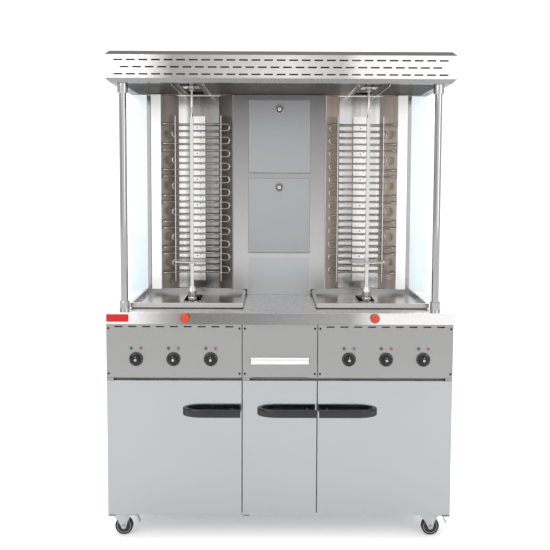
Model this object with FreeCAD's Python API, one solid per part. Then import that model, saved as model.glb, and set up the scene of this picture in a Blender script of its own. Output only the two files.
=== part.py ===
import FreeCAD, Part

import math
import os

# Double vertical rotisserie broiler on a castered cabinet. Millimetres.
# Parts are drawn with y = 0 at the worktop's front edge and y growing to the back,
# x = 0 on the centre line and z = 0 on the floor. place() moves them so that the
# origin is at the bottom centre of the whole machine.

# ---- driving dimensions ----
WIDTH = 1200.0              # worktop, side to side
DEPTH = 520.0               # worktop, front to back
WORKTOP_Z = 807.0           # top of the worktop above the floor
CANOPY_Z = 1590.0           # underside of the canopy
HEIGHT = 1696.0             # top of the canopy
CABINET_Z = 90.0            # underside of the cabinet, on its casters
SHEET = 1.5                 # sheet steel
HANDLE_REACH = 46.0         # door handle, from the door's face
GLAND_REACH = 20.0          # supply gland behind the cabinet
BAND = 40.0                 # folded front and sides of the worktop
CABINET_HALF = 598.0        # half width of the cabinet
FACE_Y = 4.0                # front face of doors and control panels
DOOR_DEPTH = 20.0
SEAM_X = 130.0              # seam between middle and outer modules
SEAM_GAP = 1.5              # half of the gap at a seam
DOOR_Z = (92.0, 570.0)
PANEL_Z = (580.0, 766.0)
FRAME_Y = (26.0, 46.0)      # welded frame behind doors and panels
BACK_Y = 518.0              # back of the cabinet

BAY_X = 322.0               # centre of a roasting bay
SPIT_Y = 230.0              # spit, at the front end of its travel
CARRIAGE_TRAVEL = 110.0     # spit towards the heaters
SLOT_HALF = 31.0            # half width of the carriage slots
DISC_Z = 959.0
DISC_R = 64.0
DISC_T = 5.0
SPIT_TOP = 1503.0
SPIT_SIDE = 12.0
SOCKET_Z = (812.0, 868.0)
SHAFT_R = 8.0
RUNNING = 0.08              # radial running clearance

TRAY_X = (130.0, 530.0)
TRAY_Y = (92.0, 492.0)
TRAY_TOP = 827.0
TRAY_FLOOR = 809.0
TRAY_RIM = 8.0

POST_X = 542.0
POST_Y = 54.0
POST_R = 12.5
REAR_POST = 15.0
REAR_POST_X = 516.0
REAR_POST_Y = 500.5

REFLECTOR_FRONT_Y = 445.0
REFLECTOR_BACK_Y = 499.0
REFLECTOR_HALF = 141.0
REFLECTOR_FACET = (84.0, 76.0)   # flat back, towards the column and away from it
REFLECTOR_STRIP = 178.0
REFLECTOR_Z = (829.0, 1589.0)

COLUMN_HALF = 179.5
COLUMN_Y = (446.0, 504.0)
HATCH_HALF = 120.0
HATCH_DEPTH = 8.0
HATCH_PIN = 5.0             # pivot axis above the hatch's lower edge
HATCH_GAP = 0.8             # gap round a hatch, wider along its swinging lower edge
HATCH_FOOT_GAP = 2.0
HATCHES = {"upper_hatch": (1288.0, 1569.0), "lower_hatch": (974.0, 1266.0)}
FIXED_PANEL_Z = (838.0, 953.0)
LOCK_DROP = 35.0            # lock centre below the hatch's top edge

ELEMENT_COUNT = 6           # heater elements in a bay
RUN_PITCH = 25.3            # between the runs of an element
TUBE_R = 3.5
ELEMENT_TOP = 1476.0
TUBE_BACK_Y = 472.0
TUBE_FRONT_Y = 420.0
TUBE_FLAT = 62.0            # half length of the straight back stretch
TUBE_END = 128.0            # inner loops; the terminals stand a little further out
TERMINAL_U = 129.0
LOOP_U = 96.0               # outer loops
RACK_HALF = 20.0            # perforated strip behind the tubes
RACK_SLIM_U = 25.0
COMB_U = (-94.0, 85.0)

CANOPY_HALF = 595.0
CANOPY_Y = (12.0, 512.0)
CANOPY_CHAMFER = 14.0
CANOPY_FLANGE = 44.0
VENT = (30.0, 5.0)          # canopy vent slot, length and height
VENT_PITCH = 42.3
VENT_ROWS = (1617.2, 1641.0, 1664.8)

KNOB_Z = 645.0
KNOB_SPACING = 128.5
MODULE_X = 367.0            # centre knob of a control panel
KNOB_R = 24.0
LAMP_RISE = 38.0
LAMP_SPACING = 17.0
BUTTON_X = 326.0
BUTTON_Z = 789.0
BUTTON_R = 16.5
PANEL_SLOT_PITCH = 47.6

DRAWER_HALF = 100.0
DRAWER_Z = (583.0, 640.0)
DRAWER_LENGTH = 380.0

HANDLE_Z = 464.0
HANDLE_HEIGHT = 27.0
HANDLE_T = 13.0
HANDLE_SPANS = {"left": (-336.0, -134.5), "middle": (-78.0, 125.5), "right": (338.0, 134.5)}

CASTER_X = 546.0
CASTER_Y = (62.0, 458.0)
CASTER_TRAIL = 6.0
WHEEL_R = 31.5
WHEEL_WIDTH = 22.0

ORIGIN_Y = (DEPTH + GLAND_REACH - 2.0 + FACE_Y - HANDLE_REACH) / 2.0
BAYS = {"left": -1.0, "right": 1.0}
UP = FreeCAD.Vector(0, 0, 1)


# ---- tools ----
def vec(x, y, z):
    return FreeCAD.Vector(x, y, z)


def box(x0, x1, y0, y1, z0, z1):
    low = vec(min(x0, x1), min(y0, y1), min(z0, z1))
    return Part.makeBox(abs(x1 - x0), abs(y1 - y0), abs(z1 - z0), low)


def mirrored_box(side, x0, x1, y0, y1, z0, z1):
    return box(side * x0, side * x1, y0, y1, z0, z1)


def rod(radius, start, end):
    line = end - start
    return Part.makeCylinder(radius, line.Length, start, line)


def ring(outer, inner, start, end):
    return rod(outer, start, end).cut(rod(inner, start, end))


def joined(shapes):
    return shapes[0].fuse(shapes[1:]).removeSplitter()


def plate_of(points, lift):
    """A flat outline of points, extruded by the vector lift."""
    wire = Part.makePolygon(points + [points[0]])
    return Part.Face(wire).extrude(lift)


def turned(profile, base, axis):
    """A solid of revolution. profile holds (radius, distance along the axis) pairs."""
    turn = FreeCAD.Rotation(UP, axis)
    points = [vec(r, 0, h) for r, h in profile]
    face = Part.Face(Part.makePolygon(points + [points[0]]))
    solid = face.revolve(vec(0, 0, 0), UP, 360)
    solid.Placement = FreeCAD.Placement(base, turn)
    return solid


def folded_sheet(points, thickness, z0, z1):
    """Sheet folded along upright bends, through the plan points (x, y)."""
    pieces = []
    for (x0, y0), (x1, y1) in zip(points, points[1:]):
        length = math.hypot(x1 - x0, y1 - y0)
        nx = -(y1 - y0) / length * thickness / 2
        ny = (x1 - x0) / length * thickness / 2
        corners = [vec(x0 + nx, y0 + ny, z0), vec(x1 + nx, y1 + ny, z0),
                   vec(x1 - nx, y1 - ny, z0), vec(x0 - nx, y0 - ny, z0)]
        pieces.append(plate_of(corners, vec(0, 0, z1 - z0)))
    for x, y in points[1:-1]:
        pieces.append(Part.makeCylinder(thickness / 2, z1 - z0, vec(x, y, z0)))
    return joined(pieces)


def bent_tube(points, bends, radius):
    """A round tube along straight runs joined by tangent arcs of the given radii."""
    edges = []
    last = points[0]
    for before, corner, after, bend in zip(points, points[1:], points[2:], bends):
        into = (corner - before).normalize()
        out = (after - corner).normalize()
        half_turn = into.getAngle(out) / 2
        back = bend * math.tan(half_turn)
        start = corner - into * back
        end = corner + out * back
        inward = (out - into).normalize()
        centre = corner + inward * (bend / math.cos(half_turn))
        middle = centre - inward * bend
        edges.append(Part.LineSegment(last, start).toShape())
        edges.append(Part.Arc(start, middle, end).toShape())
        last = end
    edges.append(Part.LineSegment(last, points[-1]).toShape())
    path = Part.Wire(edges)
    section = Part.Wire(Part.makeCircle(radius, points[0], points[1] - points[0]))
    return path.makePipeShell([section], True, False)


def rounded(shape, radius, wanted):
    """Rounds the edges that wanted(edge) picks."""
    edges = [e for e in shape.Edges if wanted(e)]
    return shape.makeFillet(radius, edges)


def runs_along(axis):
    def test(edge):
        if len(edge.Vertexes) != 2:
            return False
        line = edge.Vertexes[1].Point - edge.Vertexes[0].Point
        return abs(abs(line.dot(axis)) - line.Length) < 1e-6
    return test


def stadium(length, height, x, z, y0, y1):
    """A slot cutter lying along X, through y0 to y1."""
    r = height / 2
    reach = length / 2 - r
    core = box(x - reach, x + reach, y0, y1, z - r, z + r)
    ends = [rod(r, vec(x + s * reach, y0, z), vec(x + s * reach, y1, z)) for s in (-1, 1)]
    return joined([core] + ends)


def place(shape):
    moved = shape.copy()
    moved.translate(vec(0, -ORIGIN_Y, 0))
    return moved


def save(name, solids):
    placed = [place(s) for s in solids]
    shape = placed[0] if len(placed) == 1 else Part.makeCompound(placed)
    shape.exportStep("parts/" + name + ".step")


# ---- cabinet ----
def base_pan():
    half = CABINET_HALF - 2.0
    back = BACK_Y - 2.0
    floor = box(-half, half, FRAME_Y[0], back, CABINET_Z, CABINET_Z + SHEET)
    flanges = [mirrored_box(s, half - SHEET, half, FRAME_Y[1] + 0.5, back, CABINET_Z, CABINET_Z + 26)
               for s in (-1, 1)]
    rear = box(-half, half, back - SHEET, back, CABINET_Z, CABINET_Z + 26)
    save("base_pan", [joined([floor, rear] + flanges)])


def outer_panels():
    top = WORKTOP_Z - SHEET - 1.0
    sides = [mirrored_box(s, CABINET_HALF - SHEET, CABINET_HALF, FRAME_Y[0], BACK_Y, CABINET_Z, top)
             for s in (-1, 1)]
    half = CABINET_HALF - SHEET - 0.3
    back = box(-half, half, BACK_Y - SHEET, BACK_Y, CABINET_Z, top)
    louvres = [stadium(70, 6, side * (180 + 90 * i), 640 + 22 * j, BACK_Y - 5, BACK_Y + 5)
               for side in (-1, 1) for i in range(4) for j in range(4)]
    back = back.cut(louvres + [rod(9, vec(440, BACK_Y - 5, 180), vec(440, BACK_Y + 5, 180))])
    rear_half = REAR_POST_X + REAR_POST / 2
    upper = box(-rear_half, rear_half, REAR_POST_Y + 8.0, REAR_POST_Y + 9.5,
                WORKTOP_Z + 0.5, CANOPY_Z - 1.0)
    save("outer_panels", sides + [back, upper])


def front_frame():
    y0, y1 = FRAME_Y
    edge = CABINET_HALF - 2.0
    bars = [box(-edge, edge, y0, y1, DOOR_Z[0], 122),
            box(-edge, edge, y0, y1, 545, PANEL_Z[0] - 1),
            box(-edge, edge, y0, y1, 746, 764)]
    for side in (-1, 1):
        bars.append(mirrored_box(side, edge - 22, edge, y0, y1, DOOR_Z[0], 764))
        bars.append(mirrored_box(side, SEAM_X - 11, SEAM_X + 11, y0, y1, DOOR_Z[0], 764))
    save("front_frame", [joined(bars)])


def inner_panels():
    y0 = FRAME_Y[1] + 0.5
    back = BACK_Y - 4.0
    dividers = [mirrored_box(s, SEAM_X - 0.75, SEAM_X + 0.75, y0, back, CABINET_Z + SHEET, 574)
                for s in (-1, 1)]
    half = CABINET_HALF - 4.0
    deck = [box(-half, half, y0, back, 575, 576.5)]
    for side in (-1, 1):
        deck.append(mirrored_box(side, DRAWER_HALF - 3.5, DRAWER_HALF - 1.0, y0 + 2, 470, 576.5, 604))
        deck.append(mirrored_box(side, DRAWER_HALF - 18, DRAWER_HALF - 3.5, y0 + 2, 470, 582.5, 584.5))
    save("inner_panels", dividers + [joined(deck)])


def door_hinges():
    """Corner brackets of the doors, each with its pivot pin."""
    brackets = []
    for edge, inward in ((-CABINET_HALF, 1), (-SEAM_X + SEAM_GAP, 1), (CABINET_HALF, -1)):
        far = edge + inward * 24
        pivot_x = edge + inward * 4
        pivot_y = FACE_Y + 4
        upper = box(edge, far, FACE_Y + 1, FRAME_Y[0], DOOR_Z[1] + 1, PANEL_Z[0] - 1)
        upper_pin = rod(2, vec(pivot_x, pivot_y, DOOR_Z[1] - 6), vec(pivot_x, pivot_y, DOOR_Z[1] + 1))
        lower = box(edge, far, FACE_Y + 1, FRAME_Y[0] + 4, CABINET_Z - 3.5, CABINET_Z)
        lower_pin = rod(2, vec(pivot_x, pivot_y, CABINET_Z - 1), vec(pivot_x, pivot_y, DOOR_Z[0] + 6))
        brackets.append(joined([upper, upper_pin]))
        brackets.append(joined([lower, lower_pin]))
    save("door_hinges", brackets)


def door(name, x0, x1, hinge_x):
    """A folded pan door, open at the back, with pin holes in its top and bottom flanges."""
    y0 = FACE_Y
    y1 = FACE_Y + DOOR_DEPTH
    shell = box(x0, x1, y0, y1, *DOOR_Z)
    shell = rounded(shell, 1.2, lambda e: all(abs(v.Y - y0) < 1e-6 for v in e.Vertexes))
    hollow = box(x0 + SHEET, x1 - SHEET, y0 + SHEET, y1 + 1, DOOR_Z[0] + SHEET, DOOR_Z[1] - SHEET)
    lips = [box(x0 + 0.5, x1 - 0.5, y1 - SHEET, y1, z, z + 12)
            for z in (DOOR_Z[0] + 0.5, DOOR_Z[1] - 12.5)]
    pins = [rod(2 + RUNNING, vec(hinge_x, FACE_Y + 4, z - 8), vec(hinge_x, FACE_Y + 4, z + 8))
            for z in DOOR_Z]
    save(name, [joined([shell.cut(hollow)] + lips).cut(pins)])


def handle(name, outer, inner):
    """A half-bow bar: it leaves the door in a quarter oval and runs straight to a square end."""
    inward = 1 if inner > outer else -1
    front = FACE_Y - HANDLE_REACH
    run = 74.0
    low = HANDLE_Z - HANDLE_HEIGHT / 2

    def quarter(rx, ry):
        """Half width rx and reach ry of a quarter oval, drawn about the bow's centre."""
        centre = vec(outer + inward * run, FACE_Y, low)
        steps = 10
        return [centre + vec(-inward * rx * math.cos(a), -ry * math.sin(a), 0)
                for a in (math.pi / 2 * i / steps for i in range(steps + 1))]

    def edge_curve(points):
        curve = Part.BSplineCurve()
        curve.interpolate(points)
        return curve.toShape()

    outside = quarter(run, HANDLE_REACH)
    inside = quarter(run - HANDLE_T - 3, HANDLE_REACH - HANDLE_T)
    tip_out = vec(inner, front, low)
    tip_in = vec(inner, front + HANDLE_T, low)
    edges = [edge_curve(outside),
             Part.makeLine(outside[-1], tip_out),
             Part.makeLine(tip_out, tip_in),
             Part.makeLine(tip_in, inside[-1]),
             edge_curve(inside[::-1]),
             Part.makeLine(inside[0], outside[0])]
    bar = Part.Face(Part.Wire(edges)).extrude(vec(0, 0, HANDLE_HEIGHT))
    level = [e for e in bar.Edges
             if abs(e.Vertexes[0].Z - e.Vertexes[-1].Z) < 1e-6
             and e.BoundBox.YMin < FACE_Y - 1 and e.BoundBox.XLength > 20]
    bar = bar.makeFillet(5.0, level)
    post_x = inner - inward * 30
    post = rod(6, vec(post_x, FACE_Y, HANDLE_Z), vec(post_x, front + 6, HANDLE_Z))
    save(name, [joined([bar, post])])


def doors():
    edge = CABINET_HALF
    seam = SEAM_X
    door("left_door", -edge, -seam - SEAM_GAP, -edge + 4)
    door("middle_door", -seam + SEAM_GAP, seam - SEAM_GAP, -seam + SEAM_GAP + 4)
    door("right_door", seam + SEAM_GAP, edge, edge - 4)
    for side, (outer, inner) in HANDLE_SPANS.items():
        handle(side + "_handle", outer, inner)


# ---- worktop and control panels ----
def worktop():
    half = WIDTH / 2
    slab = box(-half, half, 0, DEPTH, WORKTOP_Z - BAND, WORKTOP_Z)
    slab = rounded(slab, 3.0, runs_along(UP))
    slab = rounded(slab, 2.5, lambda e: e.BoundBox.ZMin > WORKTOP_Z - 0.1)
    hollow = box(-half + SHEET, half - SHEET, SHEET, DEPTH - SHEET,
                 WORKTOP_Z - BAND - 1, WORKTOP_Z - SHEET)
    cuts = [hollow]
    for side in BAYS.values():
        cuts.append(drive_slot(side, WORKTOP_Z - 20, WORKTOP_Z + 20))
        hole_y = vec(side * BUTTON_X, -1, BUTTON_Z)
        cuts.append(rod(7.4, hole_y, hole_y + vec(0, 6, 0)))
    save("worktop", [slab.cut(cuts)])


def drive_slot(side, z0, z1, grow=0.0):
    """The opening that the drive shaft travels in, with round ends."""
    x = side * BAY_X
    r = SLOT_HALF + grow
    y0 = SPIT_Y
    y1 = SPIT_Y + CARRIAGE_TRAVEL
    ends = [rod(r, vec(x, y, z0), vec(x, y, z1)) for y in (y0, y1)]
    return joined([box(x - r, x + r, y0, y1, z0, z1)] + ends)


def knob_centres():
    return [side * MODULE_X + step * KNOB_SPACING
            for side in (-1, 1) for step in (-1, 0, 1)]


def lamp_centres():
    return [x + s * LAMP_SPACING for x in knob_centres() for s in (-1, 1)]


def screw_points():
    """Corners of the three front panels, where screws hold them."""
    points = []
    spans = [(-CABINET_HALF, -SEAM_X - SEAM_GAP),
             (-SEAM_X + SEAM_GAP, SEAM_X - SEAM_GAP),
             (SEAM_X + SEAM_GAP, CABINET_HALF)]
    for x0, x1 in spans:
        for x in (x0 + 7.5, x1 - 7.5):
            for z in (PANEL_Z[0] + 14, PANEL_Z[1] - 14):
                points.append((x, z))
    return points


def front_panel(x0, x1):
    y0 = FACE_Y
    y1 = FRAME_Y[0]
    z0, z1 = PANEL_Z
    shell = box(x0, x1, y0, y1, z0, z1)
    hollow = box(x0 + SHEET, x1 - SHEET, y0 + SHEET, y1 + 1, z0 + SHEET, z1 - SHEET)
    cuts = [hollow]
    for x, z in screw_points():
        if x0 < x < x1:
            cuts.append(rod(1.7, vec(x, y0 - 1, z), vec(x, y0 + 3, z)))
    for x in knob_centres():
        if x0 < x < x1:
            cuts.append(rod(5, vec(x, y0 - 1, KNOB_Z), vec(x, y0 + 3, KNOB_Z)))
    for x in lamp_centres():
        if x0 < x < x1:
            cuts.append(rod(4, vec(x, y0 - 1, KNOB_Z + LAMP_RISE), vec(x, y0 + 3, KNOB_Z + LAMP_RISE)))
    if x1 - x0 > 2 * SEAM_X:
        middle = (x0 + x1) / 2
        for i in range(-4, 5):
            cuts.append(stadium(28, 4.6, middle + i * PANEL_SLOT_PITCH, PANEL_Z[1] - 8, y0 - 1, y0 + 3))
    else:
        cuts.append(box(-DRAWER_HALF + 2, DRAWER_HALF - 2, y0 - 1, y1 + 1, z0 - 1, DRAWER_Z[1] + 8))
    return shell.cut(cuts)


def front_panels():
    edge = CABINET_HALF
    seam = SEAM_X
    save("front_panels", [front_panel(-edge, -seam - SEAM_GAP),
                          front_panel(-seam + SEAM_GAP, seam - SEAM_GAP),
                          front_panel(seam + SEAM_GAP, edge)])


def panel_screws():
    screws = []
    for x, z in screw_points():
        head = turned([(0, 0), (3.6, 0), (3.6, 0.9), (2.4, 2.0), (0, 2.2)],
                      vec(x, FACE_Y, z), vec(0, -1, 0))
        screws.append(joined([head, rod(1.6, vec(x, FACE_Y, z), vec(x, FACE_Y + 7, z))]))
    save("panel_screws", screws)


def pilot_lamps():
    lamps = []
    for x in lamp_centres():
        base = vec(x, FACE_Y, KNOB_Z + LAMP_RISE)
        dome = turned([(0, 0), (6.2, 0), (6.2, 1.6), (4.8, 2.2), (4.4, 4.2), (2.6, 5.6), (0, 6.0)],
                      base, vec(0, -1, 0))
        lamps.append(joined([dome, rod(3.8, base, base + vec(0, 18, 0))]))
    save("pilot_lamps", lamps)


def controls():
    """Thermostats behind the knobs and contact blocks behind the push switches."""
    bodies = []
    for x in knob_centres():
        front = vec(x, FACE_Y + 4, KNOB_Z)
        body = ring(19, 3 + RUNNING, front, front + vec(0, 13, 0))
        box_part = box(x - 16, x + 16, FACE_Y + 17, FACE_Y + 38, KNOB_Z - 22, KNOB_Z + 22)
        tabs = [box(x + s * 5 - 3, x + s * 5 + 3, FACE_Y + 38, FACE_Y + 46, KNOB_Z + r - 0.5, KNOB_Z + r + 0.5)
                for s in (-1, 1) for r in (-12, 12)]
        bore = rod(3 + RUNNING, front, front + vec(0, 16, 0))
        bodies.append(joined([body, box_part] + tabs).cut(bore))
    for side in BAYS.values():
        start = vec(side * BUTTON_X, SHEET, BUTTON_Z)
        barrel = ring(12, 7 + RUNNING, start, start + vec(0, 26, 0))
        block = box(start.x - 14, start.x + 14, 27.5, 48, BUTTON_Z - 14, BUTTON_Z + 12)
        bodies.append(joined([barrel, block]))
    save("controls", bodies)


def knobs():
    names = [side + "_knob_" + place_name
             for side, order in (("left", ("outer", "centre", "inner")), ("right", ("inner", "centre", "outer")))
             for place_name in order]
    for name, x in zip(names, knob_centres()):
        back = vec(x, FACE_Y - 1, KNOB_Z)
        skirt = turned([(0, 0), (KNOB_R, 0), (KNOB_R, 1.5), (KNOB_R - 1.5, 4), (19, 6), (18, 20),
                        (16.5, 22), (13, 22), (12.4, 21), (0, 21)], back, vec(0, -1, 0))
        flutes = []
        for i in range(14):
            a = 2 * math.pi * (i + 0.5) / 14
            spot = back + vec(20.2 * math.cos(a), 0, 20.2 * math.sin(a))
            flutes.append(rod(2.6, spot + vec(0, -7, 0), spot + vec(0, -30, 0)))
        pointer = box(x - 1.2, x + 1.2, FACE_Y - 24, FACE_Y - 22, KNOB_Z + 3, KNOB_Z + 15)
        shaft = rod(3, vec(x, FACE_Y - 3, KNOB_Z), vec(x, FACE_Y + 16, KNOB_Z))
        save(name, [joined([skirt.cut(flutes), pointer, shaft])])


def buttons():
    """Mushroom push switches for the two spit motors."""
    for side_name, side in BAYS.items():
        x = side * BUTTON_X
        back = vec(x, -3.6, BUTTON_Z)
        r = BUTTON_R
        profile = [(0, 0), (r - 0.8, 0), (r, 0.8), (r, 4.0)]
        dome = [(r * math.cos(a), 4.0 + 8.0 * math.sin(a))
                for a in (math.radians(d) for d in (18, 36, 54, 72))]
        cap = turned(profile + dome + [(0, 12.0)], back, vec(0, -1, 0))
        stem = rod(7, vec(x, -4.6, BUTTON_Z), vec(x, 22, BUTTON_Z))
        save(side_name + "_button", [joined([cap, stem])])


def grease_drawer():
    half = DRAWER_HALF
    y0 = FACE_Y - 2.0
    z0, z1 = DRAWER_Z
    face = box(-half, half, y0, y0 + 1.5, z0, z1 - 10)
    lip = plate_of([vec(-half, y0, z1 - 10), vec(-half, y0 + 1.5, z1 - 10), vec(-half, y0 - 6, z1 + 3),
                    vec(-half, y0 - 7.6, z1 + 2.4)], vec(2 * half, 0, 0))
    outer = box(-half + 6, half - 6, y0 + 1, y0 + DRAWER_LENGTH, z0 + 2, z1 - 12)
    inner = box(-half + 7.2, half - 7.2, y0 + 1.5, y0 + DRAWER_LENGTH - 1.2, z0 + 3.2, z1)
    save("grease_drawer", [joined([face, lip, outer.cut(inner)])])


def cable_gland():
    start = vec(440, BACK_Y, 180)
    nut = turned([(8, -0.0), (14, 0), (14, 6), (12, 8), (12, GLAND_REACH - 4), (9, GLAND_REACH), (8, GLAND_REACH)],
                 start, vec(0, 1, 0))
    sleeve = ring(8.7, 6.5, start + vec(0, -10, 0), start + vec(0, GLAND_REACH, 0))
    lock_nut = ring(13, 8.5, start + vec(0, -8, 0), start + vec(0, -2, 0))
    save("cable_gland", [joined([nut, sleeve, lock_nut])])


# ---- drip trays and spit drives ----
def drip_trays():
    trays = []
    for side in BAYS.values():
        x0, x1 = TRAY_X
        y0, y1 = TRAY_Y
        rim = TRAY_RIM
        t = 1.2
        outer = mirrored_box(side, x0, x1, y0, y1, TRAY_FLOOR + 2, TRAY_TOP)
        outer = rounded(outer, 4.0, runs_along(UP))
        under = mirrored_box(side, x0 + t, x1 - t, y0 + t, y1 - t, TRAY_FLOOR - 1, TRAY_TOP - t)
        pan = mirrored_box(side, x0 + rim, x1 - rim, y0 + rim, y1 - rim, TRAY_FLOOR, TRAY_TOP)
        well = mirrored_box(side, x0 + rim + t, x1 - rim - t, y0 + rim + t, y1 - rim - t,
                            TRAY_FLOOR + t, TRAY_TOP + 1)
        body = joined([outer.cut(under), pan]).cut(well)
        collar = drive_slot(side, TRAY_FLOOR + 0.2, TRAY_FLOOR + 8, t)
        trays.append(joined([body, collar]).cut(drive_slot(side, TRAY_FLOOR - 5, TRAY_TOP + 5)))
    save("drip_trays", trays)


def motor_rails():
    rails = []
    y0 = SPIT_Y - 75
    y1 = SPIT_Y + CARRIAGE_TRAVEL + 88
    for side in BAYS.values():
        for edge in (-1, 1):
            x = side * BAY_X + edge * 66
            bar = box(x - 4, x + 4, y0, y1, 762, 770)
            hangers = [box(x - 4, x + 4, y, y + 8, 762, WORKTOP_Z - SHEET) for y in (y0, y1 - 8)]
            rails.append(joined([bar] + hangers))
    save("motor_rails", rails)


def gear_motors():
    """Slide plate with gearbox and motor, one under each spit."""
    for name, side in BAYS.items():
        x = side * BAY_X
        plate = box(x - 72, x + 72, SPIT_Y - 62, SPIT_Y + 62, 770.4, 774.4)
        gearbox = box(x - 45, x + 45, SPIT_Y - 42, SPIT_Y + 48, 712, 770.4)
        gearbox = rounded(gearbox, 5.0, runs_along(UP))
        motor = rod(32, vec(x, SPIT_Y + 6, 630), vec(x, SPIT_Y + 6, 712))
        cap = rod(27, vec(x, SPIT_Y + 6, 622), vec(x, SPIT_Y + 6, 630))
        boss = rod(14, vec(x, SPIT_Y, 774.4), vec(x, SPIT_Y, 782))
        bore = rod(SHAFT_R + RUNNING, vec(x, SPIT_Y, 735), vec(x, SPIT_Y, 790))
        save(name + "_gear_motor", [joined([plate, gearbox, motor, cap, boss]).cut(bore)])


def drive_sockets():
    """Turned sockets on the gearbox shafts; the square foot of a spit stands in each."""
    z0, z1 = SOCKET_Z
    for name, side in BAYS.items():
        base = vec(side * BAY_X, SPIT_Y, z0)
        body = turned([(0, 0), (16, 0), (16, 14), (13.2, 17.5), (15.6, 21), (15.6, 40), (9.4, 56), (0, 56)],
                      base, UP)
        shaft = rod(SHAFT_R, vec(side * BAY_X, SPIT_Y, 740), base + vec(0, 0, 1))
        socket = spit_bar(side, z0 + 10, z1 + 1, 0.0)
        save(name + "_drive_socket", [joined([body, shaft]).cut(socket)])


def spit_bar(side, z0, z1, grow):
    half = SPIT_SIDE / 2 + grow
    x = side * BAY_X
    return box(x - half, x + half, SPIT_Y - half, SPIT_Y + half, z0, z1)


def spits():
    """Square spit with its meat disc and a pointed, bored top end."""
    for name, side in BAYS.items():
        x = side * BAY_X
        shoulder = SPIT_TOP - 16
        bar = spit_bar(side, SOCKET_Z[0] + 10, shoulder, 0.0)
        point = turned([(0, 0), (6, 0), (3.6, 16), (0, 16)], vec(x, SPIT_Y, shoulder), UP)
        disc = turned([(0, 0), (DISC_R - 1.5, 0), (DISC_R, 1.2), (DISC_R, DISC_T - 1), (DISC_R - 1, DISC_T),
                       (0, DISC_T)], vec(x, SPIT_Y, DISC_Z), UP)
        hub = ring(11, 5, vec(x, SPIT_Y, DISC_Z - 12), vec(x, SPIT_Y, DISC_Z))
        bore = rod(2.5 + RUNNING, vec(x, SPIT_Y, SPIT_TOP - 12), vec(x, SPIT_Y, SPIT_TOP + 1))
        save(name + "_spit", [joined([bar, point, disc, hub]).cut(bore)])


def top_bearings():
    """Slide plate above the canopy ceiling, with the tube and pin that steady a spit's top."""
    for name, side in BAYS.items():
        x = side * BAY_X
        plate = box(x - 44, x + 44, SPIT_Y - 40, SPIT_Y + 40, 1594.0, 1597.0)
        neck = rod(12, vec(x, SPIT_Y, 1584), vec(x, SPIT_Y, 1608))
        tube = rod(5, vec(x, SPIT_Y, 1529), vec(x, SPIT_Y, 1584))
        taper = turned([(0, 0), (2.5, 0), (5, 6), (0, 6)], vec(x, SPIT_Y, 1523), UP)
        pin = rod(2.5, vec(x, SPIT_Y, SPIT_TOP - 8), vec(x, SPIT_Y, 1523))
        save(name + "_top_bearing", [joined([plate, neck, tube, taper, pin])])


# ---- roasting bays ----
def reflectors():
    """Faceted reflector, with the strip beside it and the flange against the column."""
    shapes = []
    for side in BAYS.values():
        plan = [(-REFLECTOR_HALF, REFLECTOR_BACK_Y), (-REFLECTOR_HALF, REFLECTOR_FRONT_Y),
                (-REFLECTOR_FACET[0], REFLECTOR_BACK_Y), (REFLECTOR_FACET[1], REFLECTOR_BACK_Y),
                (REFLECTOR_HALF, REFLECTOR_FRONT_Y), (REFLECTOR_STRIP, REFLECTOR_FRONT_Y),
                (REFLECTOR_STRIP, REFLECTOR_BACK_Y + 4)]
        points = [(side * (BAY_X + u), y) for u, y in plan]
        sheet = folded_sheet(points, 1.2, *REFLECTOR_Z)
        holes = []
        for i in range(ELEMENT_COUNT):
            for z in (element_top(i), element_top(i) - 3 * RUN_PITCH):
                spot = vec(side * (BAY_X + TERMINAL_U), TUBE_FRONT_Y - 10, z)
                holes.append(rod(TUBE_R + 2, spot, spot + vec(0, 80, 0)))
        shapes.append(sheet.cut(holes))
    save("reflectors", shapes)


def element_top(i):
    return ELEMENT_TOP - 4 * RUN_PITCH * i


def heater_elements():
    """Each element is one tube: four level runs that wrap round the back of the spit."""
    elements = []
    for side in BAYS.values():
        for i in range(ELEMENT_COUNT):
            elements.append(heater_element(side, element_top(i)))
    save("heater_elements", elements)


def heater_element(side, top):
    def at(u, y, z):
        return vec(side * (BAY_X + u), y, z)

    outer = TERMINAL_U
    inner = -TUBE_END
    outer_y = tube_y(outer)
    loop_y = tube_y(LOOP_U)
    tight = RUN_PITCH / 2 - 0.2
    points = [at(outer, REFLECTOR_BACK_Y + 1, top), at(outer, outer_y, top)]
    bends = [9.0]
    for run in range(4):
        z = top - run * RUN_PITCH
        across = [at(TUBE_FLAT, TUBE_BACK_Y, z), at(-TUBE_FLAT, TUBE_BACK_Y, z)]
        if run % 2 == 0:
            points += across + [at(inner, TUBE_FRONT_Y, z)]
            bends += [26.0, 26.0, tight]
        else:
            points += [at(inner, TUBE_FRONT_Y, z)] + across[::-1]
            bends += [tight, 26.0, 26.0]
            if run == 1:
                points += [at(LOOP_U, loop_y, z), at(LOOP_U, loop_y, z - RUN_PITCH)]
                bends += [tight, tight]
    last = top - 3 * RUN_PITCH
    points += [at(outer, outer_y, last), at(outer, REFLECTOR_BACK_Y + 1, last)]
    bends += [9.0]
    return bent_tube(points, bends, TUBE_R)


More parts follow.
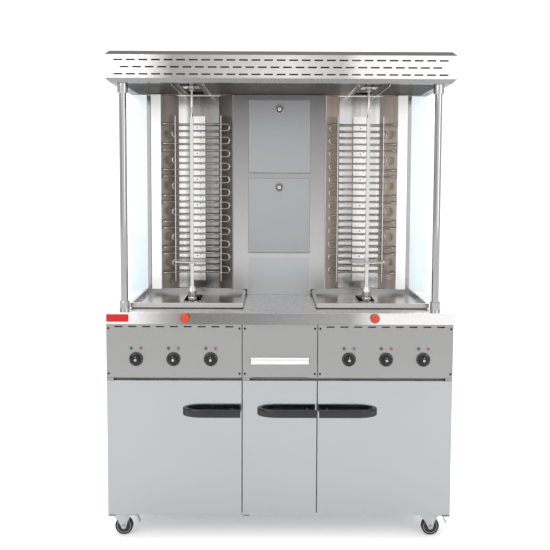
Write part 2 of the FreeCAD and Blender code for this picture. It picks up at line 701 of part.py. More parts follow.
def heater_racks():
    """Upright strips and combs that carry the heater tubes in front of the reflector."""
    bottom = element_top(ELEMENT_COUNT - 1) - 3 * RUN_PITCH - 34
    top = ELEMENT_TOP + 32
    front = TUBE_BACK_Y + TUBE_R + 2
    back = REFLECTOR_BACK_Y - 1
    strips = []
    for side in BAYS.values():
        x = side * BAY_X
        strip = box(x - RACK_HALF, x + RACK_HALF, front, front + 2, bottom, top)
        webs = [box(x + s * RACK_HALF - s * 2, x + s * RACK_HALF, front, back, bottom, top) for s in (-1, 1)]
        strips.append(joined([strip] + webs).cut(rack_holes(x, front)))
        slim = x - side * RACK_SLIM_U
        strips.append(box(slim - 5, slim + 5, front + 3, front + 5, bottom, top))
        for u in COMB_U:
            comb_x = x + side * u
            strips.append(box(comb_x - 1, comb_x + 1, tube_y(u) - 8, back - 13, bottom, top)
                          .cut(comb_holes(comb_x, u)))
    save("heater_racks", strips)


def rack_holes(x, front):
    """One screw hole for each element, and a small tie hole beside every run."""
    holes = []
    for i in range(ELEMENT_COUNT):
        z = element_top(i) - 0.5 * RUN_PITCH
        holes.append(rod(2.6, vec(x - 2, front - 1, z), vec(x - 2, front + 3, z)))
        for run in range(4):
            z = element_top(i) - run * RUN_PITCH - 6
            holes.append(rod(1.8, vec(x + 11, front - 1, z), vec(x + 11, front + 3, z)))
    return holes


def tube_y(u):
    """How far back a run lies at the distance u from the bay's centre."""
    slope = (TUBE_BACK_Y - TUBE_FRONT_Y) / (TUBE_END - TUBE_FLAT)
    return TUBE_BACK_Y - max(0.0, abs(u) - TUBE_FLAT) * slope


def comb_holes(x, u):
    """Clearance for every run through a comb."""
    holes = []
    for i in range(ELEMENT_COUNT):
        for run in range(4):
            z = element_top(i) - run * RUN_PITCH
            holes.append(rod(TUBE_R + 1.8, vec(x - 6, tube_y(u), z), vec(x + 6, tube_y(u), z)))
    return holes


# ---- centre column ----
def centre_column():
    """Wiring column: front with hatch openings, side walls, and a fixed lower panel."""
    y0, y1 = COLUMN_Y
    top = REFLECTOR_Z[1]
    front = box(-COLUMN_HALF, COLUMN_HALF, y0, y0 + SHEET, REFLECTOR_Z[0], top)
    foot = box(-TRAY_X[0] + 5, TRAY_X[0] - 5, y0, y0 + SHEET, WORKTOP_Z + 0.2, REFLECTOR_Z[0] + 1)
    walls = [mirrored_box(s, COLUMN_HALF - SHEET, COLUMN_HALF, y0, y1, REFLECTOR_Z[0], top)
             for s in (-1, 1)]
    parts = [front, foot] + walls
    openings = []
    pins = []
    for z0, z1 in HATCHES.values():
        x = HATCH_HALF + HATCH_GAP
        low = z0 - HATCH_FOOT_GAP
        high = z1 + HATCH_GAP
        parts.append(box(-x - SHEET, x + SHEET, y0, y0 + 6.5, low - SHEET, high + SHEET))
        openings.append(box(-x, x, y0 - 1, y0 + 8, low, high))
        pins += [rod(2, vec(s * (x + 1), hatch_pin_y(), z0 + HATCH_PIN),
                     vec(s * (x - 5), hatch_pin_y(), z0 + HATCH_PIN)) for s in (-1, 1)]
    shell = joined([joined(parts).cut(openings)] + pins)
    fixed = box(-HATCH_HALF, HATCH_HALF, y0 - 1.2, y0, *FIXED_PANEL_Z)
    save("centre_column", [shell, fixed])


def hatch_pin_y():
    return COLUMN_Y[0] - 1.5 + HATCH_DEPTH / 2


def hatch_lock_z(name):
    return HATCHES[name][1] - LOCK_DROP


def hatches():
    """Pan-shaped access hatches, pivoted on two short pins at the lower corners."""
    y0 = COLUMN_Y[0] - 1.5
    for name, (z0, z1) in HATCHES.items():
        x = HATCH_HALF
        shell = box(-x, x, y0, y0 + HATCH_DEPTH, z0, z1)
        hollow = box(-x + 1.2, x - 1.2, y0 + 1.2, y0 + HATCH_DEPTH + 1, z0 + 1.2, z1 - 1.2)
        lock = vec(0, y0 - 1, hatch_lock_z(name))
        hole = rod(9 + RUNNING, lock, lock + vec(0, 10, 0))
        pivot = vec(-x - 1, hatch_pin_y(), z0 + HATCH_PIN)
        pin_hole = rod(2 + RUNNING, pivot, pivot + vec(2 * x + 2, 0, 0))
        save(name, [shell.cut([hollow, hole, pin_hole])])


def locks():
    """Quarter-turn cam latches: a round face, a barrel through the hatch and a cam behind it."""
    y0 = COLUMN_Y[0] - 1.5
    for name in HATCHES:
        face_at = vec(0, y0, hatch_lock_z(name))
        face = turned([(0, 0.3), (17, 0.3), (17, 2.4), (15, 4), (11.5, 4), (11, 3.2), (10, 3.2), (9.4, 5.2), (0, 5.2)],
                      face_at, vec(0, -1, 0))
        slot = box(-1.2, 1.2, y0 - 6, y0 - 3.5, face_at.z - 6, face_at.z + 6)
        barrel = rod(9, face_at + vec(0, -1, 0), face_at + vec(0, HATCH_DEPTH + 4.5, 0))
        cam = box(-6.5, 44, y0 + HATCH_DEPTH + 1.2, y0 + HATCH_DEPTH + 3.7, face_at.z - 6.5, face_at.z + 6.5)
        save(name.replace("hatch", "lock"), [joined([face, barrel, cam]).cut(slot)])


# ---- canopy ----
def canopy_block(inset, z0, z1):
    """The canopy's outline, bevelled all round at top and bottom, shrunk by inset."""
    half = CANOPY_HALF - inset
    y0 = CANOPY_Y[0] + inset
    y1 = CANOPY_Y[1] - inset
    bevel = CANOPY_CHAMFER
    sections = [(bevel, z0), (0, z0 + bevel), (0, z1 - bevel), (bevel, z1)]
    wires = []
    for shrink, z in sections:
        a, b = half - shrink, y0 + shrink
        c = y1 - shrink
        wires.append(Part.makePolygon([vec(-a, b, z), vec(a, b, z), vec(a, c, z), vec(-a, c, z), vec(-a, b, z)]))
    return Part.makeLoft(wires, True, True)


def canopy_shell():
    outer = canopy_block(0, CANOPY_Z, HEIGHT)
    inner = canopy_block(SHEET, CANOPY_Z + SHEET, HEIGHT - SHEET)
    half = CANOPY_HALF - CANOPY_FLANGE - 5
    mouth = box(-half, half, CANOPY_Y[0] + CANOPY_FLANGE, CANOPY_Y[1] - CANOPY_FLANGE,
                CANOPY_Z - 1, CANOPY_Z + SHEET + 0.5)
    vents = []
    for row, z in enumerate(VENT_ROWS):
        count = 26 if row == 1 else 27
        for i in range(count):
            x = (i - (count - 1) / 2) * VENT_PITCH
            vents.append(box(x - VENT[0] / 2, x + VENT[0] / 2, CANOPY_Y[0] - 1, CANOPY_Y[0] + 3,
                             z - VENT[1] / 2, z + VENT[1] / 2))
    save("canopy_shell", [outer.cut([inner, mouth] + vents)])


def canopy_ceiling():
    half = CANOPY_HALF - 30
    z0 = CANOPY_Z + SHEET + 0.2
    panel = box(-half, half, CANOPY_Y[0] + 30, CANOPY_Y[1] - 20, z0, z0 + 1.2)
    slots = [mirrored_box(s, BAY_X - SLOT_HALF, BAY_X + SLOT_HALF, CANOPY_Y[0] + CANOPY_FLANGE + 4,
                          CANOPY_Y[1] - CANOPY_FLANGE - 8, z0 - 1, z0 + 2) for s in (-1, 1)]
    save("canopy_ceiling", [panel.cut(slots)])


def canopy_posts():
    """Two round front posts with ferrules, and two square rear posts on foot plates."""
    z0 = WORKTOP_Z
    z1 = CANOPY_Z
    posts = []
    for side in (-1, 1):
        x = side * POST_X
        posts.append(rod(POST_R, vec(x, POST_Y, z0), vec(x, POST_Y, z1)))
        collar = [(POST_R + 0.05, 0), (18, 0), (18, 30), (16.5, 33), (POST_R + 0.05, 33)]
        posts.append(turned(collar, vec(x, POST_Y, z0), UP))
        posts.append(turned(collar, vec(x, POST_Y, z1), vec(0, 0, -1)))
        half = REAR_POST / 2
        bar = box(side * REAR_POST_X - half, side * REAR_POST_X + half,
                  REAR_POST_Y - half, REAR_POST_Y + half, z0, z1)
        foot = box(side * (REAR_POST_X + 8) - 14, side * (REAR_POST_X + 8) + 16,
                   REAR_POST_Y - 3, REAR_POST_Y + half, z0, z0 + 3)
        posts.append(joined([rounded(bar, 1.5, runs_along(UP)), foot]))
    save("canopy_posts", posts)


def corner_glass():
    panes = [mirrored_box(s, REAR_POST_X + REAR_POST / 2 + 0.5, CANOPY_HALF - 3, REAR_POST_Y - 1, REAR_POST_Y + 4,
                          WORKTOP_Z + 4, CANOPY_Z - 1) for s in (-1, 1)]
    save("corner_glass", panes)


def name_plate():
    save("name_plate", [rounded(box(-WIDTH / 2 + 4, -WIDTH / 2 + 80, -1.0, -0.0, 775, 801), 2.0,
                                runs_along(vec(0, 1, 0)))])


# ---- casters ----
def caster_spots():
    return {end + "_" + side_name: (side * CASTER_X, y)
            for end, y in zip(("front", "rear"), CASTER_Y)
            for side_name, side in BAYS.items()}


def caster_plates():
    plates = []
    for x, y in caster_spots().values():
        plate = box(x - 42, x + 42, y - 30, y + 30, CABINET_Z - 3, CABINET_Z)
        plate = rounded(plate, 6.0, runs_along(UP))
        race = turned([(0, 0), (17, 0), (17, 3), (9, 6), (5, 6), (5, 12), (0, 12)],
                      vec(x, y, CABINET_Z - 3), vec(0, 0, -1))
        bolts = [rod(3, vec(x + a * 34, y + b * 22, CABINET_Z - 6), vec(x + a * 34, y + b * 22, CABINET_Z - 3))
                 for a in (-1, 1) for b in (-1, 1)]
        plates.append(joined([plate, race] + bolts))
    save("caster_plates", plates)


def caster_forks():
    """Swivel forks: a dished top on the race and two tapered legs with the axle."""
    top = CABINET_Z - 9.5
    axle_z = WHEEL_R
    for name, (x, y) in caster_spots().items():
        wheel_x = x - CASTER_TRAIL
        crown = turned([(5.3, 0), (22, 0), (24, 3), (24, 4), (5.3, 4)], vec(x, y, top), vec(0, 0, -1))
        bridge = box(wheel_x - 18, x + 14, y - 15.5, y + 15.5, top - 6, top - 3)
        bridge = bridge.cut(rod(8, vec(x, y, top - 8), vec(x, y, top)))
        legs = []
        for s in (-1, 1):
            outline = [vec(x + 12, 0, top - 3), vec(wheel_x - 18, 0, top - 3), vec(wheel_x - 6.5, 0, axle_z - 4),
                       vec(wheel_x + 6.5, 0, axle_z - 4)]
            leg = plate_of(outline, vec(0, 2.5, 0))
            leg.translate(vec(0, y + (13 if s > 0 else -15.5), 0))
            legs.append(leg)
            legs.append(rod(8, vec(wheel_x, y + s * 13, axle_z), vec(wheel_x, y + s * 15.5, axle_z)))
        axle = rod(3, vec(wheel_x, y - 18, axle_z), vec(wheel_x, y + 18, axle_z))
        if name.startswith("front"):
            pin = pedal_pivot(x, y)
            legs.append(rod(2, pin - vec(0, 17, 0), pin + vec(0, 17, 0)))
        save("fork_" + name, [joined([crown, bridge] + legs + [axle])])


def caster_wheels():
    half = WHEEL_WIDTH / 2
    r = WHEEL_R
    profile = [(3 + RUNNING, -half - 1), (7, -half - 1), (8, -half + 2), (r - 9, -half + 2), (r - 6, -half),
               (r - 2, -half), (r, -half + 4), (r, half - 4), (r - 2, half), (r - 6, half), (r - 9, half - 2),
               (8, half - 2), (7, half + 1), (3 + RUNNING, half + 1)]
    for name, (x, y) in caster_spots().items():
        save("wheel_" + name, [turned(profile, vec(x - CASTER_TRAIL, y, WHEEL_R), vec(0, 1, 0))])


def pedal_pivot(x, y):
    return vec(x + 4, y, CABINET_Z - 22)


def brake_pedals():
    """Foot levers of the front casters, on pins across the forks."""
    half = 10.0
    for side_name, side in BAYS.items():
        x, y = caster_spots()["front_" + side_name]
        pivot = pedal_pivot(x, y)
        boss = rod(4.5, pivot - vec(0, half, 0), pivot + vec(0, half, 0))
        outline = [(0, 4.5), (30, 4.5), (38, 1), (48, -24), (44, -27), (34, -3), (28, 0.5), (2, 0.5)]
        lever = plate_of([pivot + vec(u, -half, w) for u, w in outline], vec(0, 2 * half, 0))
        bore = rod(2 + RUNNING, pivot - vec(0, half + 1, 0), pivot + vec(0, half + 1, 0))
        save("pedal_front_" + side_name, [joined([boss, lever]).cut(bore)])


def main():
    os.makedirs("parts", exist_ok=True)
    for build in (base_pan, outer_panels, front_frame, inner_panels, door_hinges, doors,
                  worktop, front_panels, panel_screws, pilot_lamps, controls, knobs, buttons,
                  grease_drawer, cable_gland, drip_trays, motor_rails, gear_motors, drive_sockets,
                  spits, top_bearings, reflectors, heater_elements, heater_racks, centre_column,
                  hatches, locks, canopy_shell, canopy_ceiling, canopy_posts, corner_glass,
                  name_plate, caster_plates, caster_forks, caster_wheels, brake_pedals):
        build()


main()
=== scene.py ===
import bmesh
import bpy
import math
from mathutils import Matrix, Vector


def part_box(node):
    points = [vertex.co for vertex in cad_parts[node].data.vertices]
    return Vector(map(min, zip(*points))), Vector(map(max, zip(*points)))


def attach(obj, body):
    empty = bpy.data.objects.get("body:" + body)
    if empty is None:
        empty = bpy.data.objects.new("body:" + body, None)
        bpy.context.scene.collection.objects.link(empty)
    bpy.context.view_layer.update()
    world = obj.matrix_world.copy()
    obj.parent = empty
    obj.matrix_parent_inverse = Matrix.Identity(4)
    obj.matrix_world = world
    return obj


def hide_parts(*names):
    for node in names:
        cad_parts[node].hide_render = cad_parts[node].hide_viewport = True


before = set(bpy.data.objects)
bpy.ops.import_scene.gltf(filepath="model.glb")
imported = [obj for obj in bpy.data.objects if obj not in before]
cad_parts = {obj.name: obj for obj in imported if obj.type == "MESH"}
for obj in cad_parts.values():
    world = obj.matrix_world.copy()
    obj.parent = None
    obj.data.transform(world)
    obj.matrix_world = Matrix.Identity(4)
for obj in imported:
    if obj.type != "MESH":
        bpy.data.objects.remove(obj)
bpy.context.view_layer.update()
bpy.ops.object.select_all(action="DESELECT")
print("frame loaded:", len(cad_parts), "nodes")


# small helpers
def boxOf(node):
    low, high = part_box(node)
    return low, high, (low + high) / 2


def solidsOf(node):
    # boxes of the separate solids in a node, from left to right and bottom to top
    mesh = bmesh.new()
    mesh.from_mesh(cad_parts[node].data)
    bmesh.ops.remove_doubles(mesh, verts=mesh.verts, dist=1e-6)
    left = set(mesh.verts)
    found = []
    while left:
        queue = [left.pop()]
        points = []
        while queue:
            vert = queue.pop()
            points.append(vert.co.copy())
            for edge in vert.link_edges:
                other = edge.other_vert(vert)
                if other in left:
                    left.remove(other)
                    queue.append(other)
        low = Vector([min(p[i] for p in points) for i in range(3)])
        high = Vector([max(p[i] for p in points) for i in range(3)])
        found.append((low, high, (low + high) / 2))
    mesh.free()
    return sorted(found, key=lambda s: (round(s[2].x, 3), round(s[2].z, 3)))


def editMesh(obj):
    bpy.ops.object.select_all(action="DESELECT")
    obj.select_set(True)
    bpy.context.view_layer.objects.active = obj
    bpy.ops.object.mode_set(mode="EDIT")
    bpy.ops.mesh.select_all(action="DESELECT")


def leaveEdit(obj):
    bpy.ops.mesh.select_all(action="SELECT")
    bpy.ops.mesh.normals_make_consistent(inside=False)
    bpy.ops.object.mode_set(mode="OBJECT")


def finishPiece(obj, name, material, body, node=None, smooth=35):
    obj.name = name
    bpy.ops.object.select_all(action="DESELECT")
    obj.select_set(True)
    bpy.context.view_layer.objects.active = obj
    bpy.ops.object.transform_apply(location=True, rotation=True, scale=True)
    bpy.ops.object.shade_smooth_by_angle(angle=math.radians(smooth))
    obj.data.materials.clear()
    obj.data.materials.append(material)
    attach(obj, body)
    if node:
        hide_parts(node)
    return obj


def joinPieces(pieces):
    bpy.ops.object.select_all(action="DESELECT")
    for piece in pieces:
        piece.select_set(True)
    bpy.context.view_layer.objects.active = pieces[0]
    bpy.ops.object.join()
    return pieces[0]


# shader node groups
def newGroup(name, inputs, outputs):
    group = bpy.data.node_groups.new(name, "ShaderNodeTree")
    for label, kind, value in inputs:
        socket = group.interface.new_socket(name=label, in_out="INPUT",
                                            socket_type="NodeSocket" + kind)
        socket.default_value = value
    for label, kind in outputs:
        group.interface.new_socket(name=label, in_out="OUTPUT", socket_type="NodeSocket" + kind)
    return group, group.nodes.new("NodeGroupInput"), group.nodes.new("NodeGroupOutput")


def addNode(tree, kind, values=None, **settings):
    node = tree.nodes.new("ShaderNode" + kind)
    for key, value in settings.items():
        setattr(node, key, value)
    for key, value in (values or {}).items():
        if isinstance(value, bpy.types.NodeSocket):
            tree.links.new(value, node.inputs[key])
        else:
            node.inputs[key].default_value = value
    return node


def mathNode(tree, operation, a, b=0.0, clamp=False):
    return addNode(tree, "Math", {0: a, 1: b}, operation=operation, use_clamp=clamp).outputs[0]


def mixColour(tree, factor, a, b, blend="MIX"):
    node = addNode(tree, "Mix", {0: factor, 6: a, 7: b}, data_type="RGBA", blend_type=blend)
    return node.outputs[2]


def spread(tree, value, low, high, toLow=0.0, toHigh=1.0):
    return addNode(tree, "MapRange", {"Value": value, "From Min": low, "From Max": high,
                                      "To Min": toLow, "To Max": toHigh}).outputs["Result"]


def noiseOn(tree, vector, scale, detail=3.0, rough=0.55):
    return addNode(tree, "TexNoise", {"Vector": vector, "Scale": scale, "Detail": detail,
                                      "Roughness": rough}).outputs["Fac"]


def stretched(tree, vector, scale):
    return addNode(tree, "Mapping", {"Vector": vector, "Scale": scale}).outputs["Vector"]


def makeSheetGroup():
    # rolled and brushed sheet: fine grain, broad bands along it, and soft wiped clouds
    group, given, out = newGroup("brushedSheet", [
        ("Colour", "Color", (0.6, 0.6, 0.6, 1)), ("Grain", "Float", 0.05),
        ("Clouds", "Float", 0.06), ("Bands", "Float", 0.0), ("Upright", "Float", 0.0),
        ("Roughness", "Float", 0.3), ("Rough Spread", "Float", 0.06)],
        [("Colour", "Color"), ("Roughness", "Float"), ("Height", "Float")])
    place = addNode(group, "TexCoord").outputs["Object"]
    level = noiseOn(group, stretched(group, place, (1.6, 300, 900)), 1.0, 4.0, 0.6)
    upright = noiseOn(group, stretched(group, place, (900, 300, 1.6)), 1.0, 4.0, 0.6)
    turn = addNode(group, "Mix", {0: given.outputs["Upright"], 2: level, 3: upright},
                   data_type="FLOAT").outputs[0]
    grain = mathNode(group, "SUBTRACT", turn, 0.5)
    clouds = mathNode(group, "SUBTRACT", noiseOn(group, place, 3.2, 4.0, 0.5), 0.5)
    wide = mathNode(group, "SUBTRACT",
                    noiseOn(group, stretched(group, place, (3.5, 3.5, 0.5)), 1.0, 2.0), 0.5)
    total = mathNode(group, "MULTIPLY", grain, given.outputs["Grain"])
    total = mathNode(group, "ADD", total,
                     mathNode(group, "MULTIPLY", clouds, given.outputs["Clouds"]))
    total = mathNode(group, "ADD", total,
                     mathNode(group, "MULTIPLY", wide, given.outputs["Bands"]))
    shade = mathNode(group, "ADD", total, 1.0)
    scaled = addNode(group, "VectorMath", {0: given.outputs["Colour"], "Scale": shade},
                     operation="SCALE")
    group.links.new(scaled.outputs[0], out.inputs["Colour"])
    spotted = mathNode(group, "ADD", clouds, mathNode(group, "MULTIPLY", grain, 0.8))
    rough = mathNode(group, "ADD",
                     mathNode(group, "MULTIPLY", spotted, given.outputs["Rough Spread"]),
                     given.outputs["Roughness"], clamp=True)
    group.links.new(rough, out.inputs["Roughness"])
    group.links.new(grain, out.inputs["Height"])
    return group


def makeWearGroup():
    # a mask along convex edges, broken up by noise
    group, given, out = newGroup("edgeWear",
                                 [("Width", "Float", 0.0008), ("Amount", "Float", 0.5)],
                                 [("Mask", "Float")])
    soft = addNode(group, "Bevel", {"Radius": given.outputs["Width"]}, samples=4)
    plain = addNode(group, "NewGeometry")
    likeness = addNode(group, "VectorMath", {0: soft.outputs[0], 1: plain.outputs["Normal"]},
                       operation="DOT_PRODUCT").outputs["Value"]
    edge = spread(group, likeness, 0.995, 0.8)
    place = addNode(group, "TexCoord").outputs["Object"]
    patchy = spread(group, noiseOn(group, place, 60.0, 4.0), 0.35, 0.65)
    mask = mathNode(group, "MULTIPLY", mathNode(group, "MULTIPLY", edge, patchy),
                    given.outputs["Amount"], True)
    group.links.new(mask, out.inputs["Mask"])
    return group


def makeStainGroup():
    # straw, brown and blue heat colours in patches, and dried grease spots
    group, given, out = newGroup("heatStain",
                                 [("Colour", "Color", (0.5, 0.5, 0.5, 1)), ("Heat", "Float", 0.5),
                                  ("Scale", "Float", 12.0)],
                                 [("Colour", "Color"), ("Mask", "Float")])
    place = addNode(group, "TexCoord").outputs["Object"]
    cloud = noiseOn(group, place, given.outputs["Scale"], 5.0, 0.6)
    ramp = addNode(group, "ValToRGB", {"Fac": cloud})
    stops = ramp.color_ramp.elements
    stops[0].position = 0.3
    stops[0].color = (0.30, 0.24, 0.19, 1)
    stops[1].position = 0.72
    stops[1].color = (0.36, 0.38, 0.42, 1)
    middle = stops.new(0.5)
    middle.color = (0.52, 0.43, 0.33, 1)
    mask = mathNode(group, "MULTIPLY", spread(group, cloud, 0.25, 0.7, 0.55, 1.0),
                    given.outputs["Heat"], True)
    mixed = mixColour(group, mask, given.outputs["Colour"], ramp.outputs["Color"], "MULTIPLY")
    group.links.new(mixed, out.inputs["Colour"])
    group.links.new(mask, out.inputs["Mask"])
    return group


def makeSmearGroup():
    # finger marks and wiping arcs, for roughness
    group, given, out = newGroup("smears", [("Scale", "Float", 9.0), ("Amount", "Float", 0.1)],
                                 [("Mask", "Float")])
    place = addNode(group, "TexCoord").outputs["Object"]
    warp = addNode(group, "TexNoise",
                   {"Vector": place, "Scale": 2.0, "Detail": 2.0}).outputs["Color"]
    bent = addNode(group, "VectorMath", {0: place, 1: warp}, operation="ADD").outputs[0]
    marks = noiseOn(group, bent, given.outputs["Scale"], 6.0, 0.65)
    mask = mathNode(group, "MULTIPLY", spread(group, marks, 0.48, 0.72), given.outputs["Amount"],
                    True)
    group.links.new(mask, out.inputs["Mask"])
    return group


sheetGroup = makeSheetGroup()
wearGroup = makeWearGroup()
stainGroup = makeStainGroup()
smearGroup = makeSmearGroup()
print("shader groups made")


# materials
def useGroup(tree, group, values):
    node = tree.nodes.new("ShaderNodeGroup")
    node.node_tree = group
    for key, value in values.items():
        if isinstance(value, bpy.types.NodeSocket):
            tree.links.new(value, node.inputs[key])
        else:
            node.inputs[key].default_value = value
    return node


def newMaterial(name):
    material = bpy.data.materials.new(name)
    material.use_nodes = True
    tree = material.node_tree
    return material, tree, tree.nodes["Principled BSDF"]


def addBump(tree, shader, height, strength, distance):
    bump = addNode(tree, "Bump", {"Height": height, "Strength": strength, "Distance": distance})
    tree.links.new(bump.outputs["Normal"], shader.inputs["Normal"])


def rampAlong(tree, axis, low, high, stops):
    # a grey factor along one object axis, from (place, grey) pairs
    place = addNode(tree, "TexCoord").outputs["Object"]
    along = spread(tree, addNode(tree, "SeparateXYZ", {0: place}).outputs[axis], low, high)
    ramp = addNode(tree, "ValToRGB", {"Fac": along})
    marks = ramp.color_ramp.elements
    for mark, (spot, grey) in zip((marks[0], marks[1]), (stops[0], stops[-1])):
        mark.position = (spot - low) / (high - low)
        mark.color = (grey, grey, grey, 1)
    for spot, grey in stops[1:-1]:
        mark = marks.new((spot - low) / (high - low))
        mark.color = (grey, grey, grey, 1)
    return ramp.outputs["Color"]


def faceMask(tree, axis, low, high):
    # how far a face is turned along an axis, from the low value to the high one
    normal = addNode(tree, "NewGeometry").outputs["Normal"]
    return spread(tree, addNode(tree, "SeparateXYZ", {0: normal}).outputs[axis], low, high)


def frontFade(tree, tint, stops):
    # painted reflections: uneven brightness along X, painted on the front face only
    front = faceMask(tree, "Y", -0.75, -0.9)
    faded = mixColour(tree, 1.0, tint, rampAlong(tree, "X", -0.6, 0.6, stops), "MULTIPLY")
    return mixColour(tree, front, tint, faded)


def steelMaterial(name, colour, roughness, grain=0.06, clouds=0.05, bands=0.0, upright=0.0,
                  spreadRough=0.08, smear=0.08, stain=0.0, stainScale=12.0, bump=0.15,
                  metal=1.0, edge=1.0, change=None):
    material, tree, shader = newMaterial(name)
    sheet = useGroup(tree, sheetGroup,
                     {"Colour": (*colour, 1), "Grain": grain, "Clouds": clouds, "Bands": bands,
                      "Upright": upright, "Roughness": roughness, "Rough Spread": spreadRough})
    tint = sheet.outputs["Colour"]
    if change:
        tint = change(tree, tint)
    if stain:
        heated = useGroup(tree, stainGroup, {"Colour": tint, "Heat": stain, "Scale": stainScale})
        tint = heated.outputs["Colour"]
    marks = useGroup(tree, smearGroup, {"Scale": 9.0, "Amount": smear})
    rough = mathNode(tree, "ADD", sheet.outputs["Roughness"], marks.outputs["Mask"], True)
    tree.links.new(tint, shader.inputs["Base Color"])
    tree.links.new(rough, shader.inputs["Roughness"])
    shader.inputs["Metallic"].default_value = metal
    shader.inputs["Specular Tint"].default_value = (edge, edge, edge, 1)
    addBump(tree, shader, sheet.outputs["Height"], bump, 0.0002)
    return material


# painted reflections: brightness stops along X for the canopy front
canopyReflectionStops = [(-0.59, 1.8), (-0.47, 1.8), (-0.37, 0.70), (-0.26, 0.86), (-0.08, 1.25),
              (0.03, 1.45), (0.21, 1.05), (0.27, 1.75), (0.42, 1.9), (0.59, 1.9)]
# painted reflections: brightness stops along X for the worktop band front
bandReflectionStops = [(-0.59, 1.55), (-0.50, 1.46), (-0.40, 0.74), (-0.30, 0.36), (-0.10, 0.45),
            (0.12, 0.57), (0.24, 0.62), (0.34, 1.5), (0.59, 1.55)]


def canopyChange(tree, tint):
    # painted reflections along X on the front face
    tint = frontFade(tree, tint, canopyReflectionStops)
    # painted shade on the slanted faces: painted near black where they turn up and mid grey where
    # they turn down
    folded = mathNode(tree, "MULTIPLY", faceMask(tree, "Y", -0.2, -0.5),
                      faceMask(tree, "Y", -0.95, -0.85))
    chamferShade = mixColour(tree, faceMask(tree, "Z", -0.3, 0.3), (0.27, 0.27, 0.265, 1),
                     (0.05, 0.05, 0.049, 1))
    tint = mixColour(tree, folded, tint, chamferShade)
    # painted shade: faces turned down are painted near black
    return mixColour(tree, faceMask(tree, "Z", -0.9, -0.97), tint, (0.075, 0.07, 0.066, 1))


def bandChange(tree, tint):
    # painted highlight: faces turned up are painted 1.6 times brighter; the front face takes
    # painted reflections along X
    level = mixColour(tree, 1.0, tint, (1.6, 1.6, 1.6, 1), "MULTIPLY")
    return frontFade(tree, mixColour(tree, faceMask(tree, "Z", 0.9, 0.98), tint, level), bandReflectionStops)


def ceilingChange(tree, tint):
    # painted shade: the ceiling is painted darker towards both ends and slightly brighter over the
    # bays
    paintedEndShade = rampAlong(tree, "X", -0.6, 0.6,
                     [(-0.56, 0.2), (-0.44, 0.35), (-0.36, 1.2), (0.30, 1.1), (0.40, 0.6),
                      (0.48, 0.35), (0.56, 0.2)])
    return mixColour(tree, 1.0, tint, paintedEndShade, "MULTIPLY")


def backChange(tree, tint):
    # painted reflection: the inside of the back sheet, beside the reflectors, is painted near
    # white above 0.82 m
    inner = mathNode(tree, "MULTIPLY", faceMask(tree, "Y", -0.8, -0.95),
                     mathNode(tree, "GREATER_THAN", addNode(tree, "SeparateXYZ", {
                         0: addNode(tree, "TexCoord").outputs["Object"]}).outputs["Z"], 0.82))
    return mixColour(tree, inner, tint, (0.95, 0.95, 0.94, 1))


def columnChange(tree, tint):
    # the fixed panel at the foot is plain sheet like the hatches
    place = addNode(tree, "SeparateXYZ", {0: addNode(tree, "TexCoord").outputs["Object"]})
    inside = mathNode(tree, "LESS_THAN", mathNode(tree, "ABSOLUTE", place.outputs["X"]), 0.1201)
    low = mathNode(tree, "LESS_THAN", place.outputs["Z"], 0.9535)
    # painted reflection: the column is painted brighter towards its foot and darker towards the
    # top
    paintedReflectionLift = spread(tree, place.outputs["Z"], 1.5, 0.95, 0.74, 1.55)
    tint = addNode(tree, "VectorMath", {0: tint, "Scale": paintedReflectionLift}, operation="SCALE").outputs[0]
    return mixColour(tree, mathNode(tree, "MULTIPLY", inside, low), tint, (0.40, 0.415, 0.425, 1))


def mouldedMaterial(name, colour, roughness, coat=0.0, wear=0.4, wearColour=(0.25, 0.25, 0.25),
                    metal=0.0, speckle=260.0, bump=0.08):
    material, tree, shader = newMaterial(name)
    place = addNode(tree, "TexCoord").outputs["Object"]
    fine = noiseOn(tree, place, speckle, 3.0)
    broad = noiseOn(tree, place, 18.0, 4.0)
    mask = useGroup(tree, wearGroup, {"Width": 0.0006, "Amount": wear}).outputs["Mask"]
    shade = spread(tree, broad, 0.3, 0.7, 0.88, 1.1)
    body = addNode(tree, "VectorMath", {0: (*colour,), "Scale": shade},
                   operation="SCALE").outputs[0]
    tree.links.new(mixColour(tree, mask, body, (*wearColour, 1)), shader.inputs["Base Color"])
    rough = spread(tree, mathNode(tree, "ADD", broad, mathNode(tree, "MULTIPLY", fine, 0.4)), 0.4,
                   1.1, roughness * 0.8, roughness * 1.25)
    tree.links.new(rough, shader.inputs["Roughness"])
    shader.inputs["Metallic"].default_value = metal
    shader.inputs["Coat Weight"].default_value = coat
    shader.inputs["Coat Roughness"].default_value = 0.08
    shader.inputs["Specular IOR Level"].default_value = 0.3
    addBump(tree, shader, fine, bump, 0.0003)
    return material


def lampMaterial(name, colour):
    material, tree, shader = newMaterial(name)
    place = addNode(tree, "TexCoord").outputs["Object"]
    ribs = addNode(tree, "TexWave", {"Vector": place, "Scale": 900.0, "Distortion": 0.0},
                   wave_type="BANDS", bands_direction="Z").outputs["Fac"]
    cloudy = spread(tree, noiseOn(tree, place, 90.0), 0.3, 0.7, 0.8, 1.15)
    body = addNode(tree, "VectorMath", {0: (*colour,), "Scale": cloudy},
                   operation="SCALE").outputs[0]
    tree.links.new(body, shader.inputs["Base Color"])
    tree.links.new(spread(tree, cloudy, 0.8, 1.2, 0.14, 0.24), shader.inputs["Roughness"])
    shader.inputs["Coat Weight"].default_value = 0.6
    shader.inputs["Subsurface Weight"].default_value = 0.15
    shader.inputs["Subsurface Scale"].default_value = 0.002
    addBump(tree, shader, ribs, 0.12, 0.0002)
    return material


